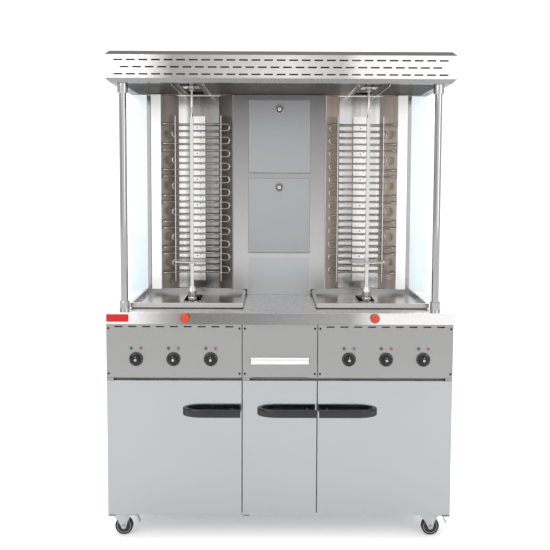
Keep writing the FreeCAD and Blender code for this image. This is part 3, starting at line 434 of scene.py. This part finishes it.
def glassMaterial(name):
    material, tree, shader = newMaterial(name)
    place = addNode(tree, "TexCoord").outputs["Object"]
    film = useGroup(tree, smearGroup, {"Scale": 6.0, "Amount": 0.08}).outputs["Mask"]
    # the blue tint is the glass's own; its paling towards the top is a painted reflection
    low = spread(tree, addNode(tree, "SeparateXYZ", {0: place}).outputs["Z"], 0.8, 1.6)
    tint = mixColour(tree, low, (0.66, 0.80, 0.88, 1), (0.80, 0.90, 0.94, 1))
    tree.links.new(tint, shader.inputs["Base Color"])
    tree.links.new(mathNode(tree, "ADD", film, 0.03), shader.inputs["Roughness"])
    shader.inputs["IOR"].default_value = 1.45
    shader.inputs["Alpha"].default_value = 0.42
    shader.inputs["Specular IOR Level"].default_value = 0.5
    return material


def reflectorMaterial(name):
    # bright flat back, heat-browned wings; painted shade along the back, painted light on the
    # wings, painted reflection on the flat strips
    material, tree, shader = newMaterial(name)
    place = addNode(tree, "TexCoord").outputs["Object"]
    facing = addNode(tree, "SeparateXYZ",
                     {0: addNode(tree, "NewGeometry").outputs["Normal"]}).outputs["X"]
    wing = spread(tree, mathNode(tree, "ABSOLUTE", facing), 0.2, 0.5)
    streaks = noiseOn(tree, stretched(tree, place, (26, 26, 0.9)), 1.0, 3.0)
    bright = mixColour(tree, spread(tree, streaks, 0.35, 0.65), (0.90, 0.90, 0.89, 1),
                       (0.64, 0.64, 0.64, 1))
    # painted shade: the flat back is painted darker along X, most between x -0.36 and -0.25 m
    shade = rampAlong(tree, "X", -0.6, 0.6,
                      [(-0.5, 1.0), (-0.372, 1.0), (-0.356, 0.42), (-0.25, 0.38), (0.0, 1.0),
                       (0.30, 0.85), (0.36, 1.0), (0.5, 1.0)])
    bright = mixColour(tree, 1.0, bright, shade, "MULTIPLY")
    brown = mixColour(tree, spread(tree, streaks, 0.3, 0.7), (0.30, 0.27, 0.25, 1),
                      (0.21, 0.19, 0.175, 1))
    # painted light: the browned wings are painted brighter towards the right along X
    lit = rampAlong(tree, "X", -0.6, 0.6,
                    [(-0.5, 0.42), (-0.38, 0.38), (-0.26, 0.33), (0.1, 0.75), (0.25, 0.78),
                     (0.40, 0.68), (0.5, 0.66)])
    brown = mixColour(tree, 1.0, brown, mixColour(tree, 1.0, lit, (3.4, 3.4, 3.4, 1), "MULTIPLY"),
                      "MULTIPLY")
    stripFront = 0.1985  # the flat strips stand in front of this depth
    strip = mathNode(tree, "LESS_THAN", addNode(tree, "SeparateXYZ", {0: place}).outputs["Y"],
                     stripFront)
    # painted reflection: the flat strips are painted near white and made almost non-metallic
    bright = mixColour(tree, strip, bright, (1.0, 1.0, 0.99, 1))
    sheet = useGroup(tree, sheetGroup,
                     {"Colour": mixColour(tree, wing, bright, brown), "Grain": 0.06,
                      "Clouds": 0.12, "Upright": 1.0, "Roughness": 0.16, "Rough Spread": 0.08})
    heat = spread(tree, strip, 0.0, 1.0, 0.22, 0.0)
    heated = useGroup(tree, stainGroup,
                      {"Colour": sheet.outputs["Colour"], "Heat": heat, "Scale": 7.0})
    tree.links.new(heated.outputs["Colour"], shader.inputs["Base Color"])
    rough = mathNode(tree, "ADD", sheet.outputs["Roughness"],
                     mathNode(tree, "MULTIPLY", wing, 0.16), True)
    tree.links.new(spread(tree, strip, 0.0, 1.0, 1.0, 0.1), shader.inputs["Metallic"])
    tree.links.new(rough, shader.inputs["Roughness"])
    addBump(tree, shader, sheet.outputs["Height"], 0.1, 0.0002)
    return material


def wheelMaterial(name, colour, dusty, roughness):
    material, tree, shader = newMaterial(name)
    place = addNode(tree, "TexCoord").outputs["Object"]
    height = addNode(tree, "SeparateXYZ", {0: place}).outputs["Z"]
    grit = noiseOn(tree, place, 140.0, 6.0, 0.7)
    dust = mathNode(tree, "MULTIPLY", spread(tree, grit, 0.45, 0.75),
                    spread(tree, height, 0.06, 0.0, 0.15, 0.7))
    tree.links.new(mixColour(tree, dust, (*colour, 1), (*dusty, 1)), shader.inputs["Base Color"])
    tree.links.new(spread(tree, grit, 0.3, 0.7, roughness, roughness + 0.2),
                   shader.inputs["Roughness"])
    addBump(tree, shader, grit, 0.25, 0.0006)
    return material


finishes = {
    "doorSheet": steelMaterial("doorSheet", (0.352, 0.368, 0.378), 0.12, grain=0.03, clouds=0.05,
                               smear=0.06, spreadRough=0.05, bump=0.05),
    "hatchSheet": steelMaterial("hatchSheet", (0.325, 0.338, 0.345), 0.42, grain=0.03, clouds=0.03,
                                smear=0.04),
    "panelSheet": steelMaterial("panelSheet", (0.296, 0.296, 0.292), 0.36, grain=0.07,
                                clouds=0.04),
    "columnSheet": steelMaterial("columnSheet", (0.29, 0.285, 0.28), 0.3, grain=0.07, clouds=0.1,
                                 upright=1.0, bands=0.12, change=columnChange),
    "sideSheet": steelMaterial("sideSheet", (0.47, 0.475, 0.48), 0.33, grain=0.07, clouds=0.06,
                               change=backChange),
    "worktopSheet": steelMaterial("worktopSheet", (0.46, 0.455, 0.45), 0.27, grain=0.08,
                                  clouds=0.08, change=bandChange),
    "canopySheet": steelMaterial("canopySheet", (0.43, 0.425, 0.42), 0.26, grain=0.16, clouds=0.08,
                                 bands=0.1, change=canopyChange),
    "ceilingSheet": steelMaterial("ceilingSheet", (0.27, 0.258, 0.24), 0.36, grain=0.08,
                                  clouds=0.12, stain=0.35, edge=0.5, change=ceilingChange),
    "traySheet": steelMaterial("traySheet", (0.50, 0.50, 0.49), 0.22, grain=0.04, clouds=0.1,
                               stain=0.12, stainScale=9.0),
    "frameBar": steelMaterial("frameBar", (0.30, 0.30, 0.30), 0.5, grain=0.06, clouds=0.12,
                              smear=0.1),
    "polishedTube": steelMaterial("polishedTube", (0.42, 0.42, 0.42), 0.09, grain=0.02,
                                  clouds=0.04, upright=1.0, spreadRough=0.04, smear=0.05),
    "heaterTube": steelMaterial("heaterTube", (0.50, 0.47, 0.45), 0.3, grain=0.05, clouds=0.2,
                                stain=0.55, stainScale=30.0),
    "rackStrip": steelMaterial("rackStrip", (0.82, 0.82, 0.81), 0.2, grain=0.05, clouds=0.1,
                               upright=1.0, stain=0.08),
    "turnedSteel": steelMaterial("turnedSteel", (0.62, 0.62, 0.61), 0.22, grain=0.06, clouds=0.08,
                                 stain=0.1, stainScale=24.0),
    "zincPlate": steelMaterial("zincPlate", (0.42, 0.43, 0.43), 0.42, grain=0.02, clouds=0.2,
                               smear=0.12),
    "lockMetal": steelMaterial("lockMetal", (0.62, 0.61, 0.56), 0.2, grain=0.02, clouds=0.08),
    "reflectorSheet": reflectorMaterial("reflectorSheet"),
    "cornerGlass": glassMaterial("cornerGlass"),
    "gripBlack": mouldedMaterial("gripBlack", (0.006, 0.006, 0.006), 0.18, coat=0.3, wear=0.15,
                                 bump=0.03),
    "knobBlack": mouldedMaterial("knobBlack", (0.007, 0.007, 0.007), 0.3, coat=0.1, wear=0.25),
    "buttonRed": mouldedMaterial("buttonRed", (0.44, 0.04, 0.012), 0.28, coat=0.15, wear=0.2,
                                 wearColour=(0.8, 0.4, 0.3)),
    "plateRed": mouldedMaterial("plateRed", (0.46, 0.004, 0.005), 0.35, coat=0.1, wear=0.3,
                                wearColour=(0.6, 0.5, 0.5)),
    "screwBlack": mouldedMaterial("screwBlack", (0.012, 0.012, 0.012), 0.4, wear=0.3, metal=0.3),
    "motorPaint": mouldedMaterial("motorPaint", (0.09, 0.10, 0.11), 0.45, wear=0.6),
    "caseBrown": mouldedMaterial("caseBrown", (0.10, 0.075, 0.055), 0.5, wear=0.3),
    "glandBlack": mouldedMaterial("glandBlack", (0.012, 0.012, 0.012), 0.5, wear=0.3),
    "markWhite": mouldedMaterial("markWhite", (0.5, 0.5, 0.49), 0.4, wear=0.1,
                                 wearColour=(0.6, 0.6, 0.6)),
    "lensGreen": lampMaterial("lensGreen", (0.012, 0.055, 0.030)),
    "lensAmber": lampMaterial("lensAmber", (0.27, 0.085, 0.022)),
    "tyreRubber": wheelMaterial("tyreRubber", (0.010, 0.010, 0.010), (0.09, 0.085, 0.075), 0.6),
    "hubPlastic": wheelMaterial("hubPlastic", (0.34, 0.33, 0.33), (0.24, 0.22, 0.20), 0.4),
}
print("materials made:", len(finishes))


nodeFinishes = {
    "doorSheet": ["left_door", "middle_door", "right_door"],
    "hatchSheet": ["upper_hatch", "lower_hatch"],
    "panelSheet": ["front_panels", "grease_drawer"],
    "columnSheet": ["centre_column"],
    "sideSheet": ["outer_panels", "base_pan", "inner_panels"],
    "worktopSheet": ["worktop"],
    "canopySheet": ["canopy_shell"],
    "ceilingSheet": ["canopy_ceiling"],
    "traySheet": ["drip_trays"],
    "frameBar": ["front_frame", "motor_rails", "door_hinges"],
    "polishedTube": ["canopy_posts"],
    "heaterTube": ["heater_elements"],
    "rackStrip": ["heater_racks"],
    "reflectorSheet": ["reflectors"],
    "cornerGlass": ["corner_glass"],
    "lockMetal": ["upper_lock", "lower_lock"],
    "gripBlack": ["left_handle", "middle_handle", "right_handle"],
    "buttonRed": ["left_button", "right_button"],
    "plateRed": ["name_plate"],
    "screwBlack": ["panel_screws"],
    "motorPaint": ["left_gear_motor", "right_gear_motor"],
    "caseBrown": ["controls"],
    "glandBlack": ["cable_gland"],
    "turnedSteel": [side + part for side in ("left", "right")
                    for part in ("_spit", "_drive_socket", "_top_bearing")],
}


def finishOf(node):
    for finish, names in nodeFinishes.items():
        if node in names:
            return finishes[finish]
    if node.startswith(("fork", "pedal", "caster")):
        return finishes["zincPlate"]
    if "knob" in node:
        return finishes["knobBlack"]
    if node.startswith("wheel"):
        return finishes["tyreRubber"]
    return finishes["lensAmber"]


for nodeName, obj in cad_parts.items():
    for materialSlot in obj.material_slots:
        materialSlot.material = finishOf(nodeName)
print("CAD nodes finished")


# pieces modelled here
def turnedPiece(profile, segments=48):
    # a closed turned solid round Z, from (radius, height) pairs in millimetres
    radius, height = profile[0]
    bpy.ops.mesh.primitive_circle_add(vertices=segments, radius=radius / 1000, fill_type="NGON")
    obj = bpy.context.object
    editMesh(obj)
    bpy.ops.mesh.select_all(action="SELECT")
    bpy.ops.transform.translate(value=(0, 0, height / 1000))
    for nextRadius, nextHeight in profile[1:]:
        bpy.ops.mesh.extrude_region_move(
            TRANSFORM_OT_translate={"value": (0, 0, (nextHeight - height) / 1000)})
        ratio = nextRadius / radius
        bpy.ops.transform.resize(value=(ratio, ratio, 1),
                                 center_override=(0, 0, nextHeight / 1000))
        radius, height = nextRadius, nextHeight
    leaveEdit(obj)
    return obj


def blockPiece(low, high, bevel=0.0, segments=2):
    # a box between two corners in millimetres, with rounded edges
    size = [(b - a) / 1000 for a, b in zip(low, high)]
    middle = [(a + b) / 2000 for a, b in zip(low, high)]
    bpy.ops.mesh.primitive_cube_add(size=1, location=middle)
    obj = bpy.context.object
    obj.scale = size
    bpy.ops.object.transform_apply(location=True, rotation=True, scale=True)
    if bevel:
        editMesh(obj)
        bpy.ops.mesh.select_all(action="SELECT")
        bpy.ops.mesh.bevel(offset=bevel / 1000, segments=segments, affect="EDGES")
        leaveEdit(obj)
    return obj


def platePiece(outline, depth, bevel=0.0):
    # a flat plate from an outline of (x, z) pairs in millimetres, from y 0 to y depth
    mesh = bpy.data.meshes.new("plate")
    mesh.from_pydata([(x / 1000, 0, z / 1000) for x, z in outline], [],
                     [list(range(len(outline)))])
    obj = bpy.data.objects.new("plate", mesh)
    bpy.context.scene.collection.objects.link(obj)
    editMesh(obj)
    bpy.ops.mesh.select_all(action="SELECT")
    bpy.ops.mesh.extrude_region_move(TRANSFORM_OT_translate={"value": (0, depth / 1000, 0)})
    if bevel:
        bpy.ops.mesh.select_all(action="SELECT")
        bpy.ops.mesh.bevel(offset=bevel / 1000, segments=2, affect="EDGES")
    leaveEdit(obj)
    return obj


def standFacing(obj, spot, towards=(0, -1, 0)):
    # turn the piece's Z axis to a direction and put its origin at the spot
    turn = Vector(towards).to_track_quat("Z", "Y").to_matrix().to_4x4()
    obj.data.transform(Matrix.Translation(spot) @ turn)
    return obj


def spreadCopies(master, spots, namer, towards=(0, -1, 0)):
    # one copy of the master on every spot, and the master itself is removed
    made = []
    for index, spot in enumerate(spots):
        twin = master.copy()
        twin.data = master.data.copy()
        bpy.context.scene.collection.objects.link(twin)
        standFacing(twin, spot, towards)
        twin.name = namer(index)
        made.append(twin)
    bpy.data.objects.remove(master)
    return made


knobSettings = {
    "skirt": [(20, 0.4), (23.4, 0.6), (24, 1.4), (24, 3.2), (23, 4.4), (17.5, 5.6), (15.6, 7.2),
              (15.2, 9), (14.4, 19.5), (13.4, 21.4), (11.5, 22.4), (5.2, 22.6), (4.8, 21.9),
              (0.5, 21.9)],
    "flute": 0.9, "ticks": 21, "tickFrom": 19.2, "tickTo": 22.4, "sweep": 300,
    "spot": [(4.4, 21.8), (4.4, 22.6), (3.7, 23.3), (2.0, 23.7), (0.4, 23.8)],
}


def makeKnobMaster():
    s = knobSettings
    grip = turnedPiece(s["skirt"], 72)
    editMesh(grip)
    bpy.ops.mesh.select_mode(type="VERT")
    mesh = bmesh.from_edit_mesh(grip.data)
    for vert in mesh.verts:
        radius = math.hypot(vert.co.x, vert.co.y) * 1000
        step = round(math.atan2(vert.co.y, vert.co.x) / (2 * math.pi) * 72) % 4
        vert.select_set(step in (0, 1) and 13.2 < radius < 15.7)
    mesh.select_flush_mode()
    bmesh.update_edit_mesh(grip.data)
    bpy.ops.transform.resize(value=(s["flute"], s["flute"], 1), center_override=(0, 0, 0))
    leaveEdit(grip)
    marks = []
    for i in range(s["ticks"]):
        angle = math.radians(90 + s["sweep"] / 2 - s["sweep"] * i / (s["ticks"] - 1))
        short = 0 if i % 5 == 0 else 1.3
        tick = blockPiece((s["tickFrom"] + short, -0.35, 4.1), (s["tickTo"], 0.35, 4.95))
        tick.data.transform(Matrix.Rotation(angle, 4, "Z"))
        marks.append(tick)
    pointer = blockPiece((-0.5, 7.4, 21.6), (0.5, 12.6, 22.75), 0.15)
    marks.append(pointer)
    return grip, joinPieces(marks), turnedPiece(s["spot"], 32)


def makeKnobs():
    grip, marks, spot = makeKnobMaster()
    names = [side + "_knob_" + place for side in ("left", "right")
             for place in ("outer", "centre", "inner")]
    parts = ((grip, "Grip", "knobBlack", "black_knob"),
             (marks, "Marks", "markWhite", "black_knob"),
             (spot, "Spot", "polishedTube", "black_knob"))
    spots = []
    for name in names:
        low, high, middle = boxOf(name)
        spots.append(Vector((middle.x, low.y + 0.024, middle.z)))
    for master, suffix, finish, slotName in parts:
        copies = spreadCopies(master, spots, lambda i: names[i] + suffix)
        for name, piece in zip(names, copies):
            finishPiece(piece, piece.name, finishes[finish], name, name)


panelFront = -0.244  # front face of the control panels, in metres

lampSettings = {
    "bezel": [(6.2, 0.0), (6.2, 1.0), (5.7, 1.7), (5.0, 1.8), (4.7, 1.2), (0.5, 1.2)],
    "lens": [(4.6, 1.0), (4.6, 2.3), (4.2, 3.4), (3.2, 4.4), (1.8, 5.1), (0.4, 5.4)],
}


def makeLamps():
    spots = [Vector((middle.x, panelFront, middle.z))
             for low, high, middle in solidsOf("pilot_lamps")]
    bezels = spreadCopies(turnedPiece(lampSettings["bezel"], 32), spots,
                          lambda i: "lampBezel" + str(i))
    finishPiece(joinPieces(bezels), "lampBezels", finishes["frameBar"], "cabinet",
                "pilot_lamps")
    lenses = spreadCopies(turnedPiece(lampSettings["lens"], 32), spots,
                          lambda i: "lampLens" + str(i))
    green = joinPieces(lenses[0::2])
    finishPiece(green, "lampLensesGreen", finishes["lensGreen"], "cabinet",
                "pilot_lamps")
    amber = joinPieces(lenses[1::2])
    finishPiece(amber, "lampLensesAmber", finishes["lensAmber"], "cabinet",
                "pilot_lamps")


screwSettings = {
    "head": [(3.9, 0.0), (3.9, 0.7), (3.5, 1.4), (2.6, 1.9), (1.2, 2.1), (0.3, 2.15)],
    "panHead": [(3.6, 0.0), (3.6, 0.8), (3.2, 1.5), (2.3, 1.95), (1.0, 2.0), (0.3, 2.0)],
    "cross": 3.0, "slot": 0.55,
}


def makeScrewMaster(profile, depth=0.9):
    # a screw head with a cross cut into it
    head = turnedPiece(profile, 24)
    top = profile[-1][1]
    for long, wide in ((screwSettings["cross"] / 2, screwSettings["slot"] / 2),
                       (screwSettings["slot"] / 2, screwSettings["cross"] / 2)):
        cutter = blockPiece((-long, -wide, top - depth), (long, wide, top + 1))
        bpy.ops.object.select_all(action="DESELECT")
        head.select_set(True)
        bpy.context.view_layer.objects.active = head
        cut = head.modifiers.new("cross", "BOOLEAN")
        cut.object = cutter
        cut.solver = "EXACT"
        bpy.ops.object.modifier_apply(modifier="cross")
        bpy.data.objects.remove(cutter)
    return head


def makePanelScrews():
    spots = [Vector((middle.x, panelFront, middle.z))
             for low, high, middle in solidsOf("panel_screws")]
    heads = spreadCopies(makeScrewMaster(screwSettings["head"]), spots,
                         lambda i: "panelScrew" + str(i))
    finishPiece(joinPieces(heads), "panelScrewHeads", finishes["screwBlack"],
                "cabinet", "panel_screws", 25)


def makeBackScrews():
    # rows of steel screws that hold the back and side sheets
    back, upperBack, sideFace = 0.270, 0.262, 0.598
    backSpots = [Vector((x / 1000, back, z / 1000)) for z in (118, 430, 745)
                 for x in (-580, -390, -195, 0, 195, 390, 580) if not (z == 745 and abs(x) == 390)]
    backSpots += [Vector((x / 1000, upperBack, z / 1000)) for z in (840, 1200, 1572)
                  for x in (-505, -250, 0, 250, 505)]
    heads = spreadCopies(makeScrewMaster(screwSettings["panHead"]), backSpots,
                         lambda i: "backScrew" + str(i), (0, 1, 0))
    finishPiece(joinPieces(heads), "backScrewHeads", finishes["turnedSteel"],
                "cabinet", None, 25)
    for side in (-1, 1):
        spots = [Vector((side * sideFace, y / 1000, z / 1000)) for z in (110, 430, 745)
                 for y in (-205, 20, 245)]
        heads = spreadCopies(makeScrewMaster(screwSettings["panHead"]), spots,
                             lambda i: "sideScrew" + str(i), (side, 0, 0))
        name = "sideScrewHeads" + ("Left" if side < 0 else "Right")
        finishPiece(joinPieces(heads), name, finishes["turnedSteel"], "cabinet",
                    None, 25)


hoodSettings = {"outline": [(0, -4.6), (-5.0, 2.2), (-5.0, 3.0), (0, 5.2)], "half": 36,
                "first": 180, "pitch": 90,
                "low": 640, "rise": 22, "count": 4, "seams": (-298, 298), "seamHalf": 9,
                "plates": [((-548, 269.8, 300), (-470, 270.7, 352)),
                           ((402, 269.8, 212), (478, 270.7, 236))]}


def makeBackDetails():
    # pressed hoods over the rear vent slots, and the two joint covers of the back sheets
    s = hoodSettings
    hoods = []
    for side in (-1, 1):
        for column in range(s["count"]):
            for row in range(s["count"]):
                hood = platePiece([(-y, z + 5.4) for y, z in s["outline"]], 2 * s["half"])
                x = side * (s["first"] + s["pitch"] * column)
                turn = Matrix(((0, -1, 0, (x + s["half"]) / 1000), (1, 0, 0, 0.2699),
                               (0, 0, 1, (s["low"] + s["rise"] * row) / 1000), (0, 0, 0, 1)))
                hood.data.transform(turn)
                hoods.append(hood)
    finishPiece(joinPieces(hoods), "louvreHoods", finishes["sideSheet"], "cabinet",
                None, 50)
    covers = [blockPiece((x - s["seamHalf"], 261.6, 829), (x + s["seamHalf"], 263.2, 1586), 0.5)
              for x in s["seams"]]
    covers += [blockPiece(low, high, 0.3) for low, high in s["plates"]]
    finishPiece(joinPieces(covers), "backCovers", finishes["canopySheet"], "cabinet")


buttonSettings = {
    "dome": [(16.5, 4.2), (16.5, 7.6), (15.9, 9.4), (14.6, 10.6), (13.0, 10.9), (12.2, 10.4),
             (11.6, 10.6), (10.6, 12.2), (8.4, 13.8), (5.6, 14.9), (2.8, 15.45), (0.4, 15.6)],
}


def makeButtons():
    for side in ("left", "right"):
        low, high, middle = boxOf(side + "_button")
        dome = turnedPiece(buttonSettings["dome"], 64)
        standFacing(dome, Vector((middle.x, -0.248, middle.z)))
        finishPiece(dome, side + "ButtonDome", finishes["buttonRed"],
                    side + "_button")


lockSettings = {
    "rim": [(16.2, 0.0), (16.2, 1.2), (15.4, 2.2), (14.0, 2.6), (12.6, 2.2), (12.0, 1.0),
            (12.0, 0.3)],
    "well": [(12.1, -0.2), (12.1, 0.45), (0.5, 0.45)],
    "plug": [(7.4, 0.3), (7.4, 2.0), (6.8, 2.6), (0.5, 2.6)],
    "slot": ((-0.9, -4.4, 2.2), (0.9, 4.4, 2.75)),
}


def makeLocks():
    for side in ("upper", "lower"):
        low, high, middle = boxOf(side + "_lock")
        spot = Vector((low.x + 0.017, low.y + 0.0002, middle.z))
        parts = ((turnedPiece(lockSettings["rim"], 64), "Rim", "frameBar"),
                 (turnedPiece(lockSettings["well"], 48), "Well", "caseBrown"),
                 (turnedPiece(lockSettings["plug"], 48), "Plug", "lockMetal"),
                 (blockPiece(*lockSettings["slot"], 0.2), "Slot", "screwBlack"))
        for piece, suffix, finish in parts:
            standFacing(piece, spot)
            finishPiece(piece, side + "Lock" + suffix, finishes[finish],
                        side + "_lock")


casterSettings = {
    "cheek": [(-37, 78), (25, 78), (27, 73), (14, 50), (9.5, 31), (8.2, 26), (5, 22.6), (0, 21.5),
              (-5, 22.6), (-8.2, 26), (-10.5, 33), (-22, 54), (-38, 73)],
    "crown": [(9, 82.4), (15, 82.4), (24, 80.6), (25.5, 79.4), (25.5, 77.6), (9, 77.6)],
    "axle": [(3, -17), (3, 17)], "pin": [(2, -17), (2, 17)],
    "nut": [(6.4, 0), (6.4, 3.2), (5.6, 4.2), (3.4, 4.2), (3.2, 5.6), (0.4, 5.8)],
    "tyre": [(24.2, -9.5), (25.5, -11), (29.0, -11), (30.6, -9.8), (31.5, -7.0), (31.5, 7.0),
             (30.6, 9.8), (29.0, 11), (25.5, 11), (24.2, 9.5)],
    "hub": [(4, -10.8), (8, -10.8), (9, -9.6), (9.6, -8.6), (14.5, -8.2), (15.5, -9.4), (17, -9.4),
            (18, -8.2),
            (22.5, -8.4), (23.4, -10), (24.6, -10), (24.6, 10), (23.4, 10), (22.5, 8.4), (18, 8.2),
            (17, 9.4), (15.5, 9.4), (14.5, 8.2), (9.6, 8.6), (9, 9.6), (8, 10.8), (4, 10.8)],
}


def makeCaster(place):
    wheelLow, wheelHigh, wheelMiddle = boxOf("wheel_" + place)
    axle = wheelMiddle.copy()
    king = wheelMiddle.x + 0.006
    cheeks = []
    for side in (-1, 1):
        cheek = platePiece(casterSettings["cheek"], 2.4, 0.5)
        shift = wheelMiddle.y + (0.0131 if side > 0 else -0.0155)
        cheek.data.transform(Matrix.Translation((wheelMiddle.x, shift, 0)))
        cheeks.append(cheek)
        nut = turnedPiece(casterSettings["nut"], 6)
        standFacing(nut, Vector((axle.x, axle.y + side * 0.0155, axle.z)), (0, side, 0))
        cheeks.append(nut)
    crown = turnedPiece(casterSettings["crown"], 48)
    crown.data.transform(Matrix.Translation((king, wheelMiddle.y, 0)))
    rod = turnedPiece(casterSettings["axle"], 24)
    standFacing(rod, axle)
    cheeks.append(rod)
    if place.startswith("front"):
        pin = turnedPiece(casterSettings["pin"], 24)
        standFacing(pin, Vector((king + 0.004, wheelMiddle.y, 0.068)))
        cheeks.append(pin)
    finishPiece(joinPieces(cheeks + [crown]), place.title().replace("_", "") + "Fork",
                finishes["zincPlate"],
                "fork_" + place, "fork_" + place)
    for part, finish in (("tyre", "tyreRubber"), ("hub", "hubPlastic")):
        piece = turnedPiece(casterSettings[part], 72)
        standFacing(piece, axle)
        finishPiece(piece, place.title().replace("_", "") + part.title(), finishes[finish],
                    "wheel_" + place, "wheel_" + place)


lipSettings = {
    "outline": [(-244.6, 628.0), (-247.0, 626.4), (-251.0, 627.0), (-253.2, 631.0),
                (-253.6, 640.0), (-252.6, 647.0),
                (-249.6, 651.0), (-246.4, 651.8), (-244.6, 650.4), (-246.4, 650.0),
                (-248.6, 649.4),
                (-251.0, 646.2), (-251.9, 640.0), (-251.4, 631.8), (-249.8, 628.8),
                (-247.0, 628.2)],
    "half": 99.0,
}


def makeDrawerLip():
    # the curled finger lip along the top of the grease drawer; its rack finish, brighter than the
    # drawer's own sheet, is a painted highlight
    half = lipSettings["half"]
    lip = platePiece(lipSettings["outline"], 2 * half)
    lip.data.transform(Matrix(((0, -1, 0, half / 1000), (1, 0, 0, 0), (0, 0, 1, 0), (0, 0, 0, 1))))
    finishPiece(lip, "drawerLip", finishes["rackStrip"], "grease_drawer", None, 60)


railSettings = {"offset": 52, "width": 1.4, "front": -188, "back": 240, "low": 1583.5,
                "high": 1591.0}


def makeCeilingRails():
    # folded lips on both sides of the slots that the upper bearings slide along
    s = railSettings
    rails = []
    for bay in (-322, 322):
        for side in (-1, 1):
            x = bay + side * s["offset"]
            rails.append(blockPiece((x - s["width"] / 2, s["front"], s["low"]),
                                    (x + s["width"] / 2, s["back"], s["high"]), 0.4))
            foot = x + side * 5
            rails.append(blockPiece((min(x, foot), s["front"], s["high"] - 0.8),
                                    (max(x, foot), s["back"], s["high"] + 0.6), 0.3))
    finishPiece(joinPieces(rails), "ceilingRails", finishes["rackStrip"],
                "cabinet")


makeKnobs()
makeLamps()
makePanelScrews()
makeBackScrews()
makeBackDetails()
makeButtons()
makeLocks()
for corner in ("front_left", "front_right", "rear_left", "rear_right"):
    makeCaster(corner)
makeDrawerLip()
makeCeilingRails()
print("pieces made")


# camera and studio
viewSettings = {"lens": 54.97, "right": -0.035, "away": 2.854, "height": 1.280, "pitch": 4.444,
                "yaw": -0.333,
                "roll": 0.226, "shift": -0.0636}


def makeCamera():
    data = bpy.data.cameras.new("studioCamera")
    data.lens = viewSettings["lens"]
    data.sensor_width = 36.0
    data.shift_y = viewSettings["shift"]
    camera = bpy.data.objects.new("studioCamera", data)
    bpy.context.scene.collection.objects.link(camera)
    pitch, yaw, roll = (math.radians(viewSettings[k]) for k in ("pitch", "yaw", "roll"))
    right = Vector((math.cos(yaw), math.sin(yaw), 0))
    ahead = Vector((-math.sin(yaw) * math.cos(pitch), math.cos(yaw) * math.cos(pitch),
                    -math.sin(pitch)))
    up = right.cross(ahead)
    tiltedRight = right * math.cos(roll) + up * math.sin(roll)
    tiltedUp = up * math.cos(roll) - right * math.sin(roll)
    turn = Matrix((tiltedRight, tiltedUp, -ahead)).transposed().to_4x4()
    place = Vector((viewSettings["right"], boxOf("worktop")[0].y - viewSettings["away"],
                    viewSettings["height"]))
    camera.matrix_world = Matrix.Translation(place) @ turn
    bpy.context.scene.camera = camera


lightSettings = {
    "key": {"place": (-2.4, -3.2, 3.0), "aim": (0, 0, 0.9), "size": (2.2, 2.2), "power": 60},
    "fill": {"place": (2.8, -2.8, 2.0), "aim": (0, 0, 0.9), "size": (2.0, 2.4), "power": 35},
    "top": {"place": (0, -0.4, 3.6), "aim": (0, 0, 0.8), "size": (3.0, 2.0), "power": 45},
    "back": {"place": (0, 3.4, 2.6), "aim": (0, 0, 1.0), "size": (3.0, 2.0), "power": 40},
}


def makeLights():
    for name, s in lightSettings.items():
        data = bpy.data.lights.new(name, "AREA")
        data.shape = "RECTANGLE"
        data.size, data.size_y = s["size"]
        data.energy = s["power"]
        lamp = bpy.data.objects.new(name, data)
        bpy.context.scene.collection.objects.link(lamp)
        lamp.location = s["place"]
        lamp.rotation_euler = (Vector(s["aim"]) - Vector(s["place"])).to_track_quat("-Z",
                                                                                    "Y").to_euler()


def makeWorld():
    # white behind the object; a pale room with darker sides in the reflections
    world = bpy.data.worlds.new("studio")
    bpy.context.scene.world = world
    world.use_nodes = True
    tree = world.node_tree
    background = tree.nodes["Background"]
    way = addNode(tree, "SeparateXYZ", {0: addNode(tree, "TexCoord").outputs["Generated"]})
    sideways = mathNode(tree, "ABSOLUTE", way.outputs["X"])
    room = addNode(tree, "ValToRGB", {"Fac": sideways})
    stops = room.color_ramp.elements
    stops[0].position = 0.30
    stops[0].color = (1, 1, 1, 1)
    stops[1].position = 0.95
    stops[1].color = (0.62, 0.62, 0.63, 1)
    dark = stops.new(0.72)
    dark.color = (0.34, 0.335, 0.33, 1)
    rise = spread(tree, way.outputs["Z"], -0.05, 0.8)
    sky = mixColour(tree, rise, room.outputs["Color"], (0.80, 0.80, 0.81, 1))
    seen = addNode(tree, "LightPath").outputs["Is Camera Ray"]
    tree.links.new(mixColour(tree, seen, sky, (1, 1, 1, 1)), background.inputs["Color"])
    background.inputs["Strength"].default_value = 1.25


def makeFloor():
    bpy.ops.mesh.primitive_plane_add(size=30, location=(0, 0, 0))
    floor = bpy.context.object
    floor.name = "floor"
    material, tree, shader = newMaterial("floorPaint")
    place = addNode(tree, "TexCoord").outputs["Object"]
    faint = spread(tree, noiseOn(tree, place, 1.2, 3.0), 0.3, 0.7)
    tree.links.new(mixColour(tree, faint, (0.90, 0.90, 0.90, 1), (0.93, 0.93, 0.93, 1)),
                   shader.inputs["Base Color"])
    shader.inputs["Roughness"].default_value = 0.6
    shader.inputs["Specular IOR Level"].default_value = 0.1
    shader.inputs["Emission Color"].default_value = (1, 1, 1, 1)
    shader.inputs["Emission Strength"].default_value = 0.22
    floor.data.materials.append(material)


makeCamera()
makeLights()
makeWorld()
makeFloor()
bpy.context.scene.view_settings.view_transform = "Standard"
print("camera and studio made")
